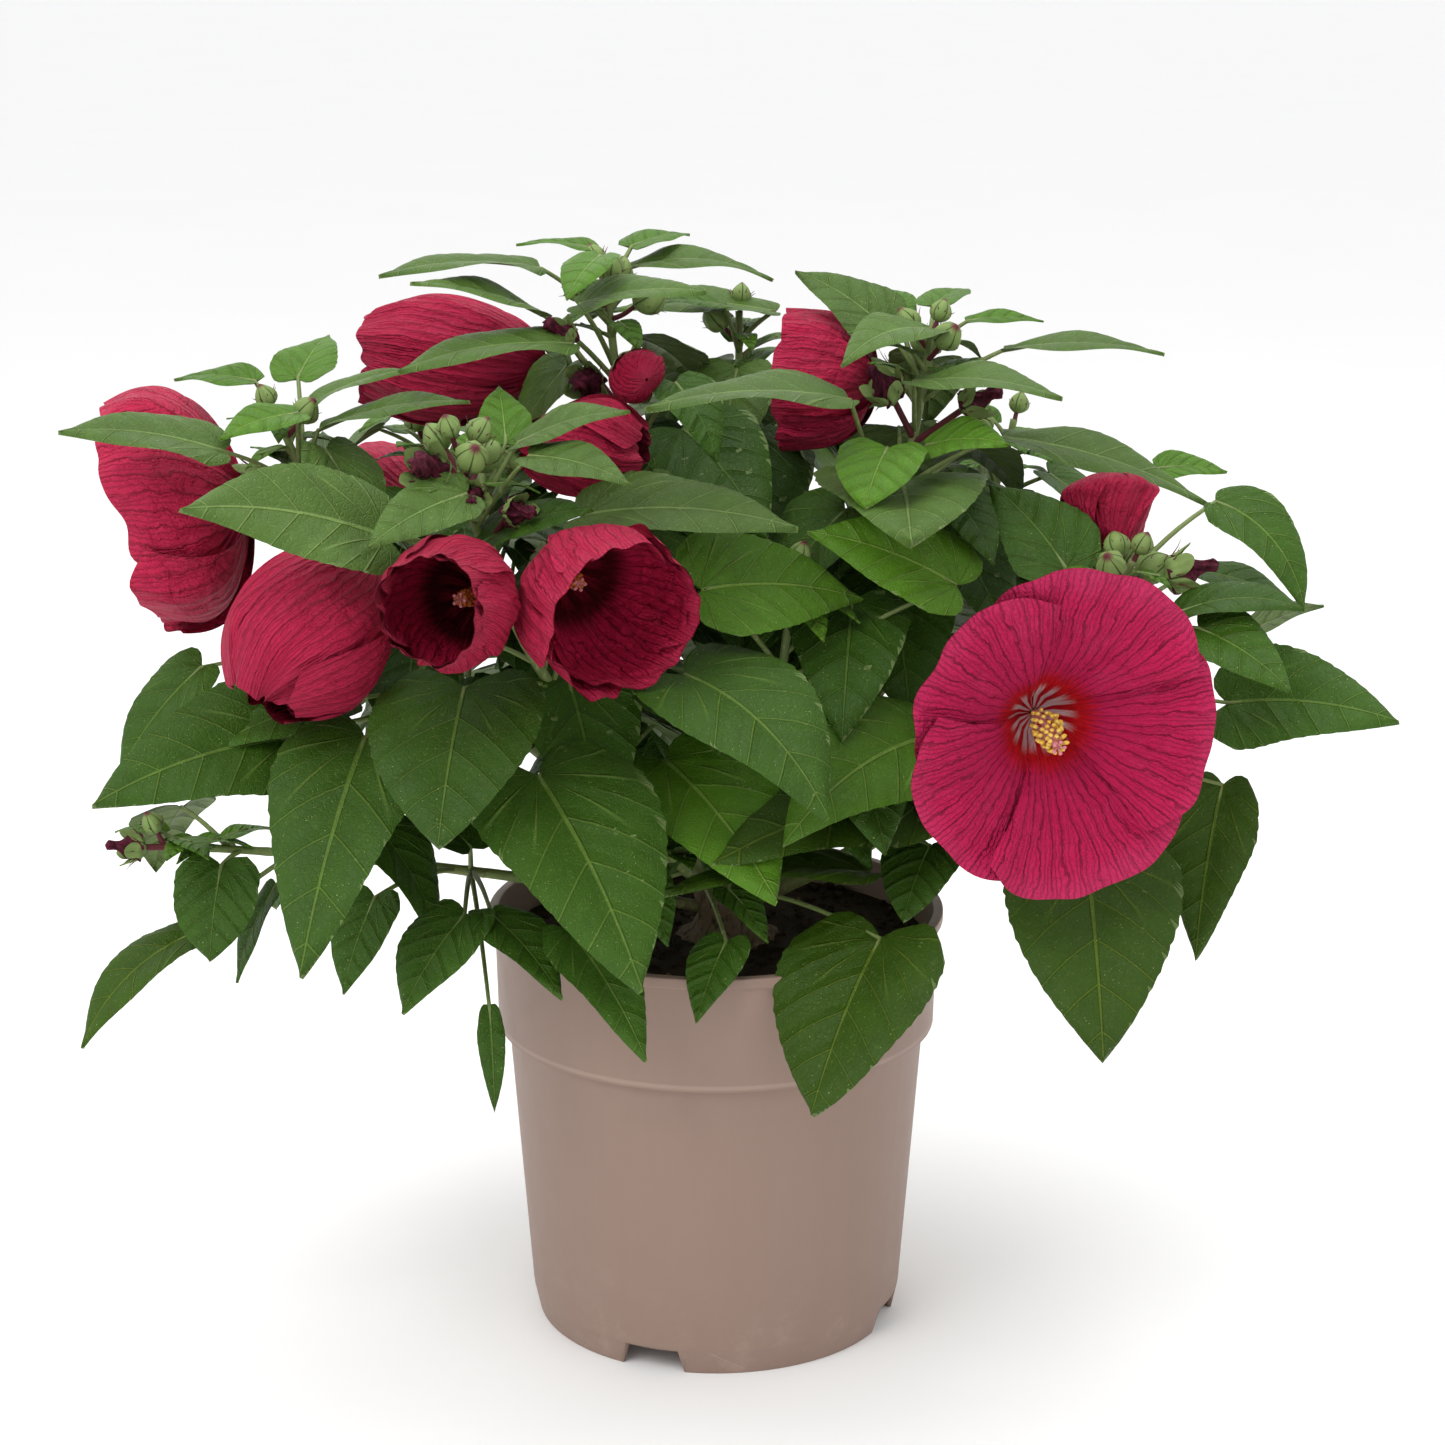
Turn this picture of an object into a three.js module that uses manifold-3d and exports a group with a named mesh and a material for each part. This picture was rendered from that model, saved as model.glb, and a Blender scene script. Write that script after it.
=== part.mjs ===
// A hardy hibiscus in its round nursery pot, in millimetres with +Z up.
// The origin is the middle of the pot's flat underside, and -Y is the front.
// Several soft stems rise from one woody crown. Each stem is a tapering limb that ends where
// its foliage starts: the same stem going on, with long-stalked leaves and a head of buds.
// Every large flower is a solid of its own, on a stalk that meets its stem.

import * as THREE from 'three';
import { mergeVertices } from 'three/addons/utils/BufferGeometryUtils.js';
import Module from 'manifold-3d';

const wasm = await Module();
wasm.setup();

const GAP = 0.3;
const DEG = Math.PI / 180;

// The pot, of 2 mm plastic: a tapered body under a wider band, and a lip round the rim.
const POT = {
  height: 215,
  wall: 2,
  footRadius: 92,
  skirtHeight: 13.6,
  bodyFootRadius: 95,
  bodyTopRadius: 105.7,
  bandHeight: 156,
  bandRadius: 110.8,
  bandTopRadius: 112,
  lipRadius: 115,
  lipHeight: 5,
  padRadius: 60,
  channelHeight: 11.5,
  floorHeight: 14.6,
  slant: 2,
  sides: 24,
};
const NOTCH = { count: 4, first: -110, topWidth: 27, footWidth: 33, height: 11, depth: 30, reach: 20 };

// Moist compost fills the pot to a little below its rim.
const SOIL = { edgeHeight: 196.5, middleHeight: 199, flatRadius: 40 };

// The woody crown, cut flat at the soil, that every stem grows from.
const CROWN = { x: 6, y: -4, foot: SOIL.middleHeight + GAP, height: 34, lean: 3, lump: 0.12, sides: 10 };
const CROWN_RINGS = [
  { rise: 0, radius: 25 },
  { rise: 0.12, radius: 19 },
  { rise: 0.4, radius: 14.5 },
  { rise: 0.75, radius: 14 },
  { rise: 1, radius: 8 },
];

const STEM = { sides: 5, limbSteps: 4, step: 48, tipRadius: 1.9, pull: 0.36, inset: 6, lowest: 0.3, spread: 0.6 };
// A stalk leaves its stem at about this angle, between these shares of the stem's length, and
// a nearer place on the stem counts as much as this many degrees for each millimetre.
const PETIOLE = { radius: 1.5, leave: 48, after: 0.03, before: 0.97, step: 0.01, near: 0.12 };
const LEAF = {
  fold: 16,
  bend: 26,
  lobe: 0.06,
  thinnest: 1.2,
  slenderness: 72,
  // The rows across a blade of at least this length: share of the length, share of the width.
  rows: [
    { from: 96, across: [[0.2, 0.96], [0.5, 0.86], [0.78, 0.42]] },
    { from: 46, across: [[0.24, 1], [0.62, 0.7]] },
    { from: 0, across: [[0.34, 1]] },
  ],
};
const BUD = {
  length: 17,
  radius: 7.5,
  stalk: 1.5,
  spread: 17,
  turn: 137.5,
  least: 0.72,
  gain: 0.5,
  seat: 0.5,
  fat: 0.42,
  nose: 0.3,
  sides: 4,
  podSides: 5,
};
// The head of buds: where on the stem it starts and how far down it goes, the slope of its
// topmost bud and how far the lowest leans out from that.
const HEAD = { top: 0.985, deep: 0.07, slope: 64, lean: 44 };
const BENDS = [0, 4, -4, 8, -8, 12, -12, 16, -16];
const TURNS = [0, 12, -12, 24, -24, 36, -36];
const SEED = { first: 7, step: 13 };
// The rule for the other leaves: the first stands this far above the foliage's start and the
// last this far below the tip. A spread is the whole range that a seeded number is drawn from.
const WILD = {
  first: 0.08,
  last: 0.08,
  turn: 137.5,
  stray: 90,
  shrink: 0.42,
  sizeSpread: 0.16,
  stalk: 44,
  stalkLow: 1.4,
  stalkShrink: 0.8,
  stalkPitch: -8,
  stalkPitchSpread: 44,
  headingSpread: 30,
  pitch: -22,
  pitchSpread: 38,
  blade: 104,
  width: 0.72,
  rollSpread: 16,
  bendSpread: 16,
  draws: 30,
  front: -64,
};

// Each shoot: the place of its tip, the radius at its foot, the slope in degrees that it leaves
// the crown and reaches its tip with, the side of the crown that it leaves from, where along it
// the foliage begins, its buds, and how many leaves grow by the seeded rule alone.
const shoots = {
  front_left: {
    tip: [-118, -104, 470], radius: 3.8, launch: 48, arrive: 80, side: 236, leafy: 0.3, buds: 5, wild: 0,
  },
  right: {
    tip: [199, -52, 404], radius: 4.6, launch: 24, arrive: 66, side: 330, leafy: 0.4, buds: 4, wild: 6,
  },
  centre: {
    tip: [38, -46, 398], radius: 3.4, launch: 64, arrive: 80, side: 300, leafy: 0.24, buds: 1, wild: 2,
  },
  low_left: {
    tip: [-272, -58, 264], radius: 3.2, launch: 14, arrive: 6, side: 214, leafy: 0.42, buds: 1, wild: 3,
  },
  front_low: {
    tip: [-22, -84, 268], radius: 3, launch: 34, arrive: 40, side: 262, leafy: 0.3, buds: 0, wild: 1,
  },
  left: {
    tip: [-212, -18, 470], radius: 3.8, launch: 40, arrive: 70, side: 196, leafy: 0.4, buds: 3, wild: 7,
  },
  right_back: {
    tip: [106, 26, 504], radius: 4, launch: 62, arrive: 84, side: 32, leafy: 0.4, buds: 4, wild: 9,
  },
  back_high: {
    tip: [-55, 40, 530], radius: 4, launch: 66, arrive: 82, side: 150, leafy: 0.42, buds: 5, wild: 9,
  },
  back_tip: {
    tip: [12, 120, 500], radius: 3.4, launch: 58, arrive: 84, side: 80, leafy: 0.4, buds: 2, wild: 13,
  },
  rear_right: {
    tip: [158, 138, 440], radius: 3.6, launch: 44, arrive: 74, side: 52, leafy: 0.36, buds: 2, wild: 17,
  },
  rear_left: {
    tip: [-160, 140, 446], radius: 3.6, launch: 46, arrive: 74, side: 128, leafy: 0.36, buds: 2, wild: 17,
  },
  rear_middle: {
    tip: [-2, 214, 384], radius: 3.4, launch: 30, arrive: 66, side: 102, leafy: 0.34, buds: 2, wild: 17,
  },
};

// The leaves that show from the front. Each row: the foot of the blade x, y, z, the heading and
// slope of its midrib in degrees (a heading of -90 points at the viewer), its length and width,
// how far it rolls about its midrib, and its bend where that isn't the usual one.
const leaves = {
  back_high: [
    [-85, 20, 534, -152, 1, 86, 34, -8],
    [-84, 8, 513, -146, 16, 76, 34, -14],
    [-62, 46, 541, 172, 2, 38, 22, -5],
    [-56, 14, 541, -108, -18, 50, 28, 0],
    [-66, 2, 519, -22, 8, 68, 36, 18],
    [-42, 60, 530, 8, -6, 74, 30, 12, 44],
    [-42, 62, 540, 46, 4, 42, 24, 8],
    [-70, -12, 502, -154, -5, 90, 42, -12],
  ],
  back_tip: [
    [30, 118, 500, 184, 1, 86, 42, -12],
    [4, 96, 506, -160, 4, 44, 24, -10],
  ],
  front_left: [
    [-90, -92, 468, -20, 18, 58, 32, 22],
    [-84, -110, 465, -32, -8, 56, 30, 22],
    [-97, -80, 466, 98, 26, 46, 26, 0],
    [-112, -130, 451, -140, -18, 57, 34, -34],
    [-150, -122, 430, -150, 13, 100, 60, -46],
    [-60, -70, 430, -18, 8, 104, 60, 20],
    [-108, -104, 423, -30, 20, 66, 36, 30],
    [-116, -114, 357, -96, -38, 90, 78, 0],
    [-163, -108, 332, -106, -47, 124, 72, 0],
    [-82, -118, 316, -54, -44, 118, 90, 6],
  ],
  left: [
    [-230, -74, 461, -161, 10, 76, 40, -24],
    [-224, 0, 482, 160, -2, 45, 24, -15],
    [-206, 24, 480, 78, 16, 52, 34, 0],
    [-198, -42, 473, -134, -8, 48, 26, -20],
    [-196, -18, 473, -11, 20, 56, 24, 15],
    [-190, -30, 463, -22, 13, 84, 30, 15],
    [-189, 4, 424, 100, 18, 70, 50, 0],
    [-250, -38, 348, -150, -48, 68, 40, -20],
    [-176, -78, 342, -154, -10, 72, 42, -20],
    [-200, -90, 327, -145, -9, 104, 66, -40],
  ],
  right_back: [
    [64, -32, 478, -153, 2, 110, 44, -10],
    [84, 40, 502, 155, 28, 56, 38, -30],
    [90, 62, 508, 124, 10, 54, 32, 0],
    [109, 52, 512, 62, 4, 44, 26, 0],
    [104, 14, 505, -135, -10, 66, 36, -12, 50],
    [124, 30, 507, 0, 0, 38, 18, 15],
    [141, 20, 494, -15, 1, 80, 30, 8],
    [96, -2, 482, -36, 0, 84, 38, 10],
    [82, -34, 455, -106, -24, 50, 44, 0],
    [102, -20, 454, -48, 8, 54, 32, 30],
    [142, 24, 450, -6, -17, 108, 42, 16],
    [90, 0, 433, -90, -5, 104, 84, 0],
  ],
  right: [
    [244, -8, 424, -40, -42, 74, 36, 24, 70],
    [236, 0, 388, -24, -14, 56, 32, 10],
    [220, -66, 382, -30, 8, 64, 36, 20, 44],
    [256, -40, 366, 14, 16, 42, 28, -46],
    [227, -82, 378, -48, -20, 60, 36, 30],
    [246, -60, 336, -32, 2, 86, 58, 44],
    [243, -70, 298, -120, -72, 86, 46, 0],
    [177, -86, 266, -89, -43, 108, 84, 0],
    [167, -48, 400, 134, 34, 60, 46, -30],
  ],
  rear_right: [
    [226, 60, 428, -4, -2, 34, 26, 20],
  ],
  low_left: [
    [-240, -62, 255, -99, -60, 48, 44, 0],
    [-254, -48, 217, -150, -38, 84, 36, -14, 56],
    [-216, -48, 240, -150, -64, 52, 26, 0],
    [-163, -88, 247, -116, -52, 50, 36, 0],
    [-119, -102, 243, -124, -36, 60, 46, 0],
    [-119, -60, 264, 140, 22, 44, 34, 0],
    [-106, -104, 244, -50, -26, 62, 36, 0],
    [-107, -118, 204, -78, -76, 52, 14, 0],
  ],
  centre: [
    [114, -60, 394, 180, 20, 76, 52, -44],
    [-6, -88, 398, 22, -8, 84, 60, 46],
    [-14, -112, 363, -43, -30, 106, 80, 10, 50],
    [102, -70, 322, -138, -20, 104, 60, -38, 44],
    [101, -57, 288, -147, -6, 124, 64, -28],
    [-24, -62, 308, -52, -30, 100, 76, 12],
    [6, -80, 249, -50, -33, 36, 24, 0],
    [104, -58, 264, -112, -34, 48, 40, 0],
  ],
  front_low: [
    [-68, -116, 239, -52, -38, 76, 44, 0],
    [5, -100, 229, -112, -36, 48, 30, 0],
    [-38, -94, 262, -58, -43, 42, 30, 0],
    [78, -104, 232, -122, -47, 94, 80, 0],
    [74, -80, 257, -160, 5, 108, 50, 0],
  ],
};

// Leaves further in, which fill the shade between the stems. Rows as above.
const innerLeaves = {
  centre: [
    [20, -62, 368, -112, -48, 88, 64, -8],
    [66, -36, 380, -60, -46, 84, 60, 0],
    [4, -40, 322, -120, -48, 84, 62, 0],
    [60, -58, 330, -70, -50, 80, 60, 0],
  ],
  front_left: [
    [-70, -70, 350, -80, -50, 84, 60, 0],
  ],
  left: [
    [-148, -22, 358, -112, -44, 80, 58, 0],
    [-178, 8, 392, -96, -30, 74, 54, 0],
    [-120, -20, 320, -104, -46, 84, 60, 0],
  ],
  right_back: [
    [78, 4, 446, -122, -36, 84, 60, -14],
    [86, 2, 384, -82, -46, 84, 60, 0],
    [58, 12, 350, -104, -40, 90, 64, 0],
    [112, 20, 410, -60, -40, 80, 56, 0],
  ],
  back_high: [
    [-16, 36, 452, -54, -32, 84, 60, 20],
    [-12, 36, 408, -66, -44, 84, 60, 6],
    [-40, 8, 400, -104, -44, 84, 62, 0],
    [-66, 14, 340, -124, -44, 92, 66, 0],
    [-84, 24, 440, -150, -30, 80, 54, 0],
  ],
  back_tip: [
    [20, 88, 440, -84, -40, 84, 60, 0],
    [24, 60, 392, -84, -44, 84, 62, 0],
    [-16, 96, 440, -120, -30, 80, 56, 0],
  ],
};

// Fat pods and spent flowers that show, and one bud about to open: foot, the way it points,
// length and radius.
const pods = {
  back_high: [
    [-44, 8, 486, -70, 0, 32, 13],
    [-70, 0, 500, -140, 40, 20, 9],
    [-60, 6, 480, -110, 10, 22, 10],
  ],
  front_left: [
    [-112, -118, 446, -80, 10, 20, 9],
    [-94, -116, 440, -50, 10, 20, 8],
    [-126, -118, 456, -110, 30, 24, 12],
  ],
  right_back: [
    [88, 12, 470, -150, 50, 24, 11],
    [120, 10, 466, -20, 30, 24, 10],
  ],
  right: [[214, -44, 394, -6, 16, 28, 12]],
  low_left: [[-276, -62, 264, -160, 10, 20, 9]],
};

// The large flowers: the shoot that carries each, the foot of its funnel, the way it looks,
// the depth and radius of its mouth, the belly that its petals are drawn towards, and how far
// the mouth is pressed oval and is notched between the petals.
const blooms = {
  open_front_right: {
    shoot: 'right', foot: [147, -116, 346], heading: -74, pitch: -3, depth: 38, mouth: 80,
    belly: [30, 35], oval: 1, notch: 0.06,
  },
  tube_front_left: {
    shoot: 'front_left', foot: [-106, -122, 404], heading: -108, pitch: 5, depth: 62, mouth: 29,
    belly: [44, 28], oval: 1, notch: 0.05,
  },
  cup_front: {
    shoot: 'front_left', foot: [-72, -104, 412], heading: -60, pitch: -12, depth: 66, mouth: 37,
    belly: [46, 24], oval: 0.95, notch: 0.06,
  },
  folded_left: {
    shoot: 'front_left', foot: [-164, -80, 410], heading: -128, pitch: -38, depth: 92, mouth: 28,
    belly: [64, 42], oval: 0.95, notch: 0.1,
  },
  open_left: {
    shoot: 'left', foot: [-232, -6, 430], heading: -174, pitch: -14, depth: 58, mouth: 52,
    belly: [80, 14], oval: 1, notch: 0.1,
  },
  open_back_left: {
    shoot: 'back_high', foot: [-88, 54, 482], heading: 174, pitch: 2, depth: 96, mouth: 24,
    belly: [46, 32], oval: 1, notch: 0.12,
  },
  closing_middle: {
    shoot: 'front_left', foot: [-92, -28, 455], heading: -6, pitch: -2, depth: 60, mouth: 18,
    belly: [36, 32], oval: 1, notch: 0.1,
  },
  open_back_right: {
    shoot: 'right_back', foot: [78, 48, 474], heading: 172, pitch: 2, depth: 52, mouth: 35,
    belly: [40, 6], oval: 1, notch: 0.12,
  },
  upright_right: {
    shoot: 'right', foot: [192, -27, 404], heading: 96, pitch: 64, depth: 38, mouth: 28,
    belly: [22, 22], oval: 1, notch: 0.12,
  },
  open_rear_right: {
    shoot: 'rear_right', foot: [178, 134, 304], heading: 60, pitch: 4, depth: 38, mouth: 62,
    belly: [30, 35], oval: 1, notch: 0.06,
  },
  cup_rear_left: {
    shoot: 'rear_left', foot: [-158, 150, 384], heading: 128, pitch: -6, depth: 64, mouth: 40,
    belly: [44, 26], oval: 0.95, notch: 0.06,
  },
};
const COROLLA = {
  throat: 7,
  floor: 1,
  shell: 1.7,
  petals: 5,
  fewSteps: [0.45, 1],
  steps: [0.32, 0.66, 1],
  deep: 29,
  wide: 60,
};
const CALYX = { length: 16, radius: 9.5 };
const COLUMN = { share: 0.8, radius: 4.6, waist: 0.6, sides: 4 };
// A flower's stalk ends inside the calyx, and bows where this share of the way to a place
// straight behind the calyx has been gone.
const PEDICEL = { radius: 2.3, sides: 4, seat: 0.7, behind: 0.3, bow: 0.6 };

const materials = {
  pot: new THREE.MeshStandardMaterial({ color: 0x9b8275, roughness: 0.62, metalness: 0 }),
  soil: new THREE.MeshStandardMaterial({ color: 0x2b211a, roughness: 0.95, metalness: 0 }),
  bark: new THREE.MeshStandardMaterial({ color: 0x6d5a3c, roughness: 0.85, metalness: 0 }),
  stem: new THREE.MeshStandardMaterial({ color: 0x5f7f35, roughness: 0.6, metalness: 0 }),
  leaf: new THREE.MeshStandardMaterial({ color: 0x3f6a35, roughness: 0.55, metalness: 0 }),
  petal: new THREE.MeshStandardMaterial({ color: 0xb32553, roughness: 0.6, metalness: 0 }),
};

// Solids and meshes.

// A closed body of these corners and triangles, turned so that its faces point out.
function solidOf(corners, triangles) {
  const vertProperties = new Float32Array(corners.flatMap((corner) => [corner.x, corner.y, corner.z]));
  const make = (faces) => new wasm.Manifold(
    new wasm.Mesh({ numProp: 3, vertProperties, triVerts: new Uint32Array(faces.flat()) }),
  );
  const solid = make(triangles);
  return solid.volume() > 0 ? solid : make(triangles.map(([a, b, c]) => [a, c, b]));
}

// The solid inside a closed three.js geometry.
function solidOfGeometry(geometry) {
  geometry.deleteAttribute('normal');
  geometry.deleteAttribute('uv');
  const merged = mergeVertices(geometry, 1e-4);
  const place = merged.attributes.position;
  const corners = [];
  for (let i = 0; i < place.count; i += 1) {
    corners.push(new THREE.Vector3().fromBufferAttribute(place, i));
  }
  const triangles = [];
  for (let i = 0; i < merged.index.count; i += 3) {
    const face = [0, 1, 2].map((k) => merged.index.getX(i + k));
    if (new Set(face).size === 3) triangles.push(face);
  }
  return solidOf(corners, triangles);
}

// Pieces joined into one body: sealed hollows are filled and loose scraps are dropped.
function fused(pieces) {
  const whole = pieces.reduce((sum, piece) => sum.add(piece));
  return whole.decompose().reduce((best, part) => (part.volume() > best.volume() ? part : best));
}

function meshOf(name, solid, material) {
  const { vertProperties, triVerts } = solid.getMesh();
  const geometry = new THREE.BufferGeometry();
  geometry.setAttribute('position', new THREE.BufferAttribute(new Float32Array(vertProperties), 3));
  geometry.setIndex(new THREE.BufferAttribute(new Uint32Array(triVerts), 1));
  geometry.computeVertexNormals();
  const mesh = new THREE.Mesh(geometry, material);
  mesh.name = name;
  return mesh;
}

// A body through rings of corners, with a flat face at each end.
function lofted(rings) {
  const sides = rings[0].length;
  const triangles = [];
  for (let i = 0; i + 1 < rings.length; i += 1) {
    for (let k = 0; k < sides; k += 1) {
      const a = i * sides + k;
      const b = i * sides + (k + 1) % sides;
      triangles.push([a, b, b + sides], [a, b + sides, a + sides]);
    }
  }
  const last = (rings.length - 1) * sides;
  for (let k = 1; k + 1 < sides; k += 1) {
    triangles.push([0, k + 1, k], [last, last + k, last + k + 1]);
  }
  return solidOf(rings.flat(), triangles);
}

// Any two directions square to this one, as the axes of a section.
function sectionAxes(along) {
  const rough = Math.abs(along.z) < 0.9 ? new THREE.Vector3(0, 0, 1) : new THREE.Vector3(1, 0, 0);
  const across = rough.cross(along).normalize();
  return [across, along.clone().cross(across)];
}

// A tapering limb of regular section through these points, square to the way it runs at each.
function limbThrough(points, radii, sides, ways = points.map((point, i) => (
  points[Math.min(i + 1, points.length - 1)].clone().sub(points[Math.max(i - 1, 0)]).normalize()))) {
  let [across, over] = sectionAxes(ways[0]);
  const rings = points.map((point, i) => {
    const along = ways[i];
    across = across.clone().addScaledVector(along, -across.dot(along)).normalize();
    over = along.clone().cross(across);
    const ring = [];
    for (let k = 0; k < sides; k += 1) {
      const angle = (2 * Math.PI * k) / sides;
      ring.push(point.clone()
        .addScaledVector(across, radii[i] * Math.cos(angle))
        .addScaledVector(over, radii[i] * Math.sin(angle)));
    }
    return ring;
  });
  return lofted(rings);
}

function direction(heading, pitch) {
  return new THREE.Vector3(
    Math.cos(pitch * DEG) * Math.cos(heading * DEG),
    Math.cos(pitch * DEG) * Math.sin(heading * DEG),
    Math.sin(pitch * DEG),
  );
}

// The pot with its soil and crown.

function turned(profile, sides) {
  const points = profile.map(([radius, height]) => new THREE.Vector2(radius, height));
  return solidOfGeometry(new THREE.LatheGeometry(points, sides).rotateX(Math.PI / 2));
}

function makePot() {
  const bodyTopInside = POT.bodyTopRadius - POT.wall;
  const profile = [
    [0, 0],
    [POT.padRadius, 0],
    [POT.padRadius + POT.slant, POT.channelHeight],
    [POT.footRadius - POT.wall, POT.channelHeight],
    [POT.footRadius - POT.wall, 0],
    [POT.footRadius, 0],
    [POT.bodyFootRadius, POT.skirtHeight],
    [POT.bodyTopRadius, POT.bandHeight],
    [POT.bandRadius, POT.bandHeight],
    [POT.bandTopRadius, POT.height - POT.lipHeight],
    [POT.lipRadius, POT.height - POT.lipHeight],
    [POT.lipRadius, POT.height],
    [POT.bandTopRadius - POT.wall, POT.height],
    [bodyTopInside, POT.bandHeight],
    [POT.bodyFootRadius - POT.wall, POT.floorHeight],
    [0, POT.floorHeight],
  ];
  let pot = turned(profile, POT.sides);
  const notch = new THREE.Shape([
    new THREE.Vector2(-NOTCH.footWidth / 2, -1),
    new THREE.Vector2(NOTCH.footWidth / 2, -1),
    new THREE.Vector2(NOTCH.topWidth / 2, NOTCH.height),
    new THREE.Vector2(-NOTCH.topWidth / 2, NOTCH.height),
  ]);
  for (let i = 0; i < NOTCH.count; i += 1) {
    const cutter = new THREE.ExtrudeGeometry(notch, { depth: NOTCH.depth, bevelEnabled: false });
    cutter.rotateX(Math.PI / 2);
    cutter.translate(0, -POT.footRadius + NOTCH.reach, 0);
    cutter.rotateZ((NOTCH.first + 90 + (360 / NOTCH.count) * i) * DEG);
    pot = pot.subtract(solidOfGeometry(cutter));
  }
  return pot;
}

function makeSoil() {
  const bodyTop = POT.bodyTopRadius - POT.wall;
  const rimTop = POT.bandTopRadius - POT.wall;
  const slope = (rimTop - bodyTop) / (POT.height - POT.bandHeight);
  const clear = (radius) => radius - 2 * GAP;
  return turned([
    [0, POT.floorHeight + GAP],
    [clear(POT.bodyFootRadius - POT.wall), POT.floorHeight + GAP],
    [clear(bodyTop), POT.bandHeight],
    [clear(bodyTop + slope * (SOIL.edgeHeight - POT.bandHeight)), SOIL.edgeHeight],
    [SOIL.flatRadius, SOIL.middleHeight],
    [0, SOIL.middleHeight],
  ], POT.sides);
}

// grow widens a solid on every side, for cutting its neighbours clear of it.
function makeCrown(grow = 0) {
  const rings = CROWN_RINGS.map(({ rise, radius }, i) => {
    const ring = [];
    const first = i === 0 ? -grow : 0;
    const last = i === CROWN_RINGS.length - 1 ? grow : 0;
    for (let k = 0; k < CROWN.sides; k += 1) {
      const angle = (2 * Math.PI * k) / CROWN.sides;
      const lump = radius * (1 + CROWN.lump * Math.sin(3 * angle + i)) + grow;
      ring.push(new THREE.Vector3(
        CROWN.x + lump * Math.cos(angle) - CROWN.lean * rise,
        CROWN.y + lump * Math.sin(angle),
        CROWN.foot + CROWN.height * rise + first + last,
      ));
    }
    return ring;
  });
  return lofted(rings);
}

// The stems.

// The whole way of a shoot, from the crown to its tip, as one smooth curve. The steeper it
// leaves, the higher on the crown it starts.
function routeOf(shoot) {
  const rise = STEM.lowest + STEM.spread * Math.sin(shoot.launch * DEG);
  const foot = new THREE.Vector3(CROWN.x, CROWN.y, CROWN.foot + CROWN.height * rise)
    .addScaledVector(direction(shoot.side, 0), STEM.inset);
  const tip = new THREE.Vector3(...shoot.tip);
  const span = foot.distanceTo(tip);
  const heading = Math.atan2(tip.y - foot.y, tip.x - foot.x) / DEG;
  const near = foot.clone().addScaledVector(direction(heading, shoot.launch), span * STEM.pull);
  const far = tip.clone().addScaledVector(direction(heading, shoot.arrive), -span * STEM.pull);
  return new THREE.CubicBezierCurve3(foot, near, far, tip);
}

function stemBetween(shoot, from, to, steps, grow = 0) {
  const points = [];
  const radii = [];
  const ways = [];
  for (let i = 0; i <= steps; i += 1) {
    const share = from + ((to - from) * i) / steps;
    points.push(shoot.route.getPoint(share));
    ways.push(shoot.route.getTangent(share));
    radii.push(shoot.radius + (STEM.tipRadius - shoot.radius) * share + grow / Math.cos(Math.PI / STEM.sides));
  }
  return limbThrough(points, radii, STEM.sides, ways);
}

// Where on the stem a stalk to this place leaves, at about its usual angle from the stem.
function stalkRoot(shoot, place, angle) {
  let best = { share: shoot.leafy, miss: Infinity };
  for (let share = shoot.leafy + PETIOLE.after; share < PETIOLE.before; share += PETIOLE.step) {
    const way = place.clone().sub(shoot.route.getPoint(share));
    const aside = Math.abs(way.angleTo(shoot.route.getTangent(share)) / DEG - angle);
    const miss = aside + way.length() * PETIOLE.near;
    if (miss < best.miss) best = { share, miss };
  }
  return best.share;
}

// Leaves.

// The point and the axes of a blade at a share of its length: a blade bends down evenly.
function bladeFrame(leaf, share) {
  const bend = leaf.bend * DEG;
  const start = leaf.pitch * DEG + bend / 2;
  const here = start - bend * share;
  const out = (leaf.length * (Math.sin(start) - Math.sin(here))) / bend;
  const up = (leaf.length * (Math.cos(here) - Math.cos(start))) / bend;
  const ahead = direction(leaf.heading, 0);
  const point = leaf.foot.clone().addScaledVector(ahead, out);
  point.z += up;
  const along = direction(leaf.heading, here / DEG);
  const level = direction(leaf.heading + 90, 0);
  const lift = along.clone().cross(level);
  const roll = leaf.roll * DEG;
  const side = level.clone().multiplyScalar(Math.cos(roll)).addScaledVector(lift, Math.sin(roll));
  return { point, along, side, face: along.clone().cross(side) };
}

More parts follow.
